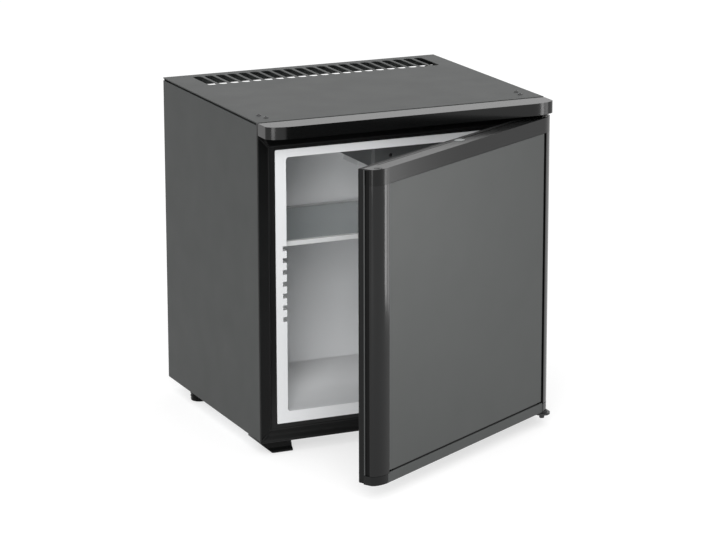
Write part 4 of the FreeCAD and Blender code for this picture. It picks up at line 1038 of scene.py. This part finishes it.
def makeLiner(look):
    front, rear, wall = cabinet.front, look.cavityRear, look.wall
    half, high, corner = look.cavityHalf, look.cavityHigh, look.corner
    reach, end, edge = look.grooveHalf, look.grooveEnd, look.grooveHeight / 2
    margin = edge + look.padMargin
    levels = [look.topGroove - number * look.groovePitch for number in range(look.grooves)]

    def plate(reach, low, high, corner, near, far):
        return outlineBlock(roundedRect(-reach, reach, low, high, corner), near, far, "front")

    tub = plate(half + wall, look.floorLow - wall, high + wall, corner + wall, front + past, rear + wall)
    lip = plate(cabinet.lipHalf, cabinet.lipLow, cabinet.lipHigh, cabinet.lipCorner, front,
                front + look.lipDepth)
    pads = boxBlock(-reach - wall, reach + wall, front + past, end + wall,
                    levels[-1] - margin, levels[0] + margin)
    shape = combine(combine(tub, lip, "UNION"), pads, "UNION")
    tools = [plate(half, look.cavityLow, high, corner, front - farPast, rear),
             plate(half, look.floorLow, high, corner, front + look.sillRun, rear)]
    tools += [boxBlock(-reach, reach, front - farPast, end, level - edge, level + edge) for level in levels]
    tools += [pin(*hole, rear - past, rear + wall + past, "front") for hole in look.holes]
    soft = bmesh.new()
    soft.from_mesh(carved(shape, *tools))
    flat = math.radians(flatDegrees)
    bmesh.ops.dissolve_limit(soft, angle_limit=flat, verts=soft.verts, edges=soft.edges)
    layer = soft.edges.layers.float.new("bevel_weight_edge")
    for line in soft.edges:
        if len(line.link_faces) == 2 and line.calc_face_angle(0.0) > math.radians(look.rollDegrees):
            line[layer] = linerEdge(look, line)
    piece = addPiece("innerLiner", meshOf(soft), edge=look.roll, steps=6)
    piece.modifiers["soft edges"].limit_method = "WEIGHT"


makeLiner(liner)
print("liner moulded")


# shelf: a frame in the liner's grooves with a light bar along its front

shelf = Look(
    half=186.5, inner=180.0, border=16.0, sideBorder=17.0, rebate=4.0, glass=4.0, low=2.9, high=8.4,
    barHigh=9.6, barDepth=8.0, runnerLow=1.2, runnerHigh=7.6, runnerLap=3.0, runnerSetback=1.5,
    cutHigh=12.0, edge=0.9
)


def makeShelf(look):
    low, high = nodeBox("shelf_frame")[:2]
    floor, front, rear = low.z, low.y, high.y
    inner, border, cutHigh = look.inner, look.border, floor + look.cutHigh
    shape = boxBlock(-inner, inner, front, rear, floor + look.low, floor + look.high)
    for runner in sideBoxes(inner - look.runnerLap, look.half, front + look.runnerSetback, rear,
                            floor + look.runnerLow, floor + look.runnerHigh):
        shape = combine(shape, runner, "UNION")
    half, step = look.half - look.sideBorder, border - look.rebate
    seat, seatLow = half + look.rebate, floor + look.high - look.glass
    shape = carved(shape, boxBlock(-half, half, front + border, rear - border, floor, cutHigh),
                   boxBlock(-seat, seat, front + step, rear - step, seatLow, cutHigh))
    bar = boxBlock(-inner, inner, front, front + look.barDepth, floor + look.low, floor + look.barHigh)
    addPiece("shelfFrame", combine(shape, bar, "UNION"), edge=look.edge)


makeShelf(shelf)
print("shelf made")


# front feet: moulded blocks with a slanted outer side, a dished front and a round lip along the bottom

frontFoot = Look(
    inner=176.0, slope=20.0, draft=2.0, top=17.5, setback=1.2, edge=0.6, rough=(150.0, 230.0),
    screwRoom=0.5,
    # back from the front, and up
    front=[(2.6, 17.5), (2.6, 9.2), (2.2, 7.4), (1.1, 6.0), (0.3, 5.0), (0.0, 3.9), (0.15, 2.7), (0.8, 1.4),
        (2.0, 0.5), (3.6, 0.08), (5.0, 0.0)],
    # where the slope ends, and the round below it: out from the slope's foot, and up
    slopeEnd=3.0, toe=[(1.6, 1.25), (-1.6, 0.3), (-5.0, 0)]
)


def makeFrontFoot(node, look):
    low, high = nodeBox(node)[:2]
    side = -1 if low.x < 0 else 1
    front = low.y + look.setback
    section = [(front + back, min(rise, high.z)) for back, rise in look.front]
    section += [(high.y, 0), (high.y, high.z)]
    block = outlineBlock(section, *(side * x for x in look.rough), "side")
    half, top, end = cabinet.half, look.top, look.slopeEnd
    foot = half - look.slope
    outline = [(half, top), (foot + end * look.slope / top, end)]
    outline += [(foot + out, rise) for out, rise in look.toe]
    outline += [(look.inner - look.draft, 0), (look.inner, top)]
    outline = [(side * x, min(z, high.z)) for x, z in outline]
    return combine(block, outlineBlock(outline, front - farPast, high.y + farPast, "front"), "INTERSECT")


def makeFrontFeet(look):
    feet = {side: makeFrontFoot(side + "_front_foot", look) for side in ("left", "right")}
    room = look.screwRoom
    radius, low = screwLook.radius + room, nodeBox("bracket_screws")[0].z - room
    top = nodeBox("right_front_foot")[1].z + past
    feet["right"] = carved(feet["right"], *(pin(*spot, radius, low, top) for spot in bracketScrewSpots()))
    for side, foot in feet.items():
        addPiece(side + "FrontFoot", foot, edge=look.edge, steps=2, angle=35.0)


makeFrontFeet(frontFoot)
print("feet made")


# studio

cameraPlace = Look(
    azimuth=-24.21, elevation=14.47, roll=-0.15, distance=4.5138, focalPixels=3061.3, imageWidth=716,
    sensor=36.0, aim=(0.0, 41.5075, 240.0), offset=(24.27, 11.62), farEnd=60.0
)


def placeCamera(place):
    azimuth, elevation, roll = (math.radians(place[key]) for key in ("azimuth", "elevation", "roll"))
    level = math.cos(elevation)
    back = Vector((math.sin(azimuth) * level, -math.cos(azimuth) * level, math.sin(elevation)))
    right = Vector((math.cos(azimuth), math.sin(azimuth), 0.0))
    up = back.cross(right)
    tiltedRight = right * math.cos(roll) + up * math.sin(roll)
    tiltedUp = up * math.cos(roll) - right * math.sin(roll)
    left, low = place.offset
    spot = (Vector(place.aim) - tiltedRight * left - tiltedUp * low) * mm + back * place.distance
    camera = bpy.data.objects.new("camera", bpy.data.cameras.new("camera"))
    turn = Matrix((tiltedRight, tiltedUp, back)).transposed()
    camera.matrix_world = Matrix.Translation(spot) @ turn.to_4x4()
    camera.data.sensor_width = place.sensor
    camera.data.sensor_fit = "HORIZONTAL"
    camera.data.lens = place.focalPixels * place.sensor / place.imageWidth
    camera.data.clip_end = place.farEnd
    scene.collection.objects.link(camera)
    scene.camera = camera


placeCamera(cameraPlace)

# lengths here are in metres
studio = Look(
    worldLight=0.9, floorColor=(0.45, 0.45, 0.45), floorSize=30.0, floorLift=0.62,
    # name, place, aim, width, height, watts, lights matt surfaces
    lamps=[
        ("overhead", (0.2, -0.3, 3.0), (0.0, 0.1, 0.3), 2.6, 2.2, 8.0, True),
        ("frontFill", (-1.1, -3.2, 2.3), (0.0, 0.0, 0.25), 1.8, 1.6, 44.0, True),
        ("lowLeft", (-1.05, -1.57, 0.64), (0.0, 0.0, 0.64), 0.5, 1.06, 12.0, True),
        ("noseCard", (0.84, -0.67, 0.5), (0.0, -0.67, 0.5), 0.15, 1.0, 3.6, False),
        ("trimCard", (0.84, -0.46, 0.5), (0.0, -0.46, 0.5), 0.2, 1.0, 1.9, False)
    ]
)


def backdropSeen(tree):
    # 1 for what the camera, glossy and clear surfaces see, 0 for light that falls on the object
    rays = newNode(tree, "ShaderNodeLightPath")
    seen = rays.outputs["Is Camera Ray"]
    for other in ("Is Glossy Ray", "Is Transmission Ray"):
        either = newNode(tree, "ShaderNodeMath", operation="MAXIMUM")
        tree.links.new(seen, either.inputs[0])
        tree.links.new(rays.outputs[other], either.inputs[1])
        seen = either.outputs[0]
    return seen


def lightWorld(look):
    world = bpy.data.worlds.new("studio")
    scene.world = world
    world.use_nodes = True
    tree = world.node_tree
    background = tree.nodes["Background"]
    background.inputs["Color"].default_value = (1.0, 1.0, 1.0, 1.0)
    level = newNode(tree, "ShaderNodeMapRange", **{"To Min": look.worldLight, "To Max": 1.0})
    tree.links.new(backdropSeen(tree), level.inputs["Value"])
    tree.links.new(level.outputs["Result"], background.inputs["Strength"])


def setLamps(look):
    for name, place, aim, width, height, watts, matt in look.lamps:
        lamp = bpy.data.objects.new(name, bpy.data.lights.new(name, "AREA"))
        lamp.data.shape = "RECTANGLE"
        lamp.data.size = width
        lamp.data.size_y = height
        lamp.data.energy = watts
        lamp.visible_camera = False
        lamp.visible_diffuse = matt
        way = Vector(aim) - Vector(place)
        turn = way.to_track_quat("-Z", "Y").to_matrix().to_4x4()
        lamp.matrix_world = Matrix.Translation(Vector(place)) @ turn
        scene.collection.objects.link(lamp)


def layFloor(look):
    half = look.floorSize / 2
    mesh = bpy.data.meshes.new("floor")
    corners = [(-half, -half, 0), (half, -half, 0), (half, half, 0), (-half, half, 0)]
    mesh.from_pydata(corners, [], [(0, 1, 2, 3)])
    floor = bpy.data.objects.new("floor", mesh)
    scene.collection.objects.link(floor)
    material = bpy.data.materials.new("paleFloor")
    material.use_nodes = True
    tree = material.node_tree
    tree.nodes.clear()
    diffuse = newNode(tree, "ShaderNodeBsdfDiffuse", Color=(*look.floorColor, 1.0))
    glow = newNode(tree, "ShaderNodeEmission", Color=(1.0, 1.0, 1.0, 1.0))
    lift = newNode(tree, "ShaderNodeMath", operation="MULTIPLY")
    lift.inputs[1].default_value = look.floorLift
    both = newNode(tree, "ShaderNodeAddShader")
    output = newNode(tree, "ShaderNodeOutputMaterial")
    tree.links.new(backdropSeen(tree), lift.inputs[0])
    tree.links.new(lift.outputs[0], glow.inputs["Strength"])
    tree.links.new(diffuse.outputs[0], both.inputs[0])
    tree.links.new(glow.outputs[0], both.inputs[1])
    tree.links.new(both.outputs[0], output.inputs["Surface"])
    mesh.materials.append(material)


lightWorld(studio)
setLamps(studio)
layFloor(studio)
scene.view_settings.view_transform = "Standard"
print("studio lit")
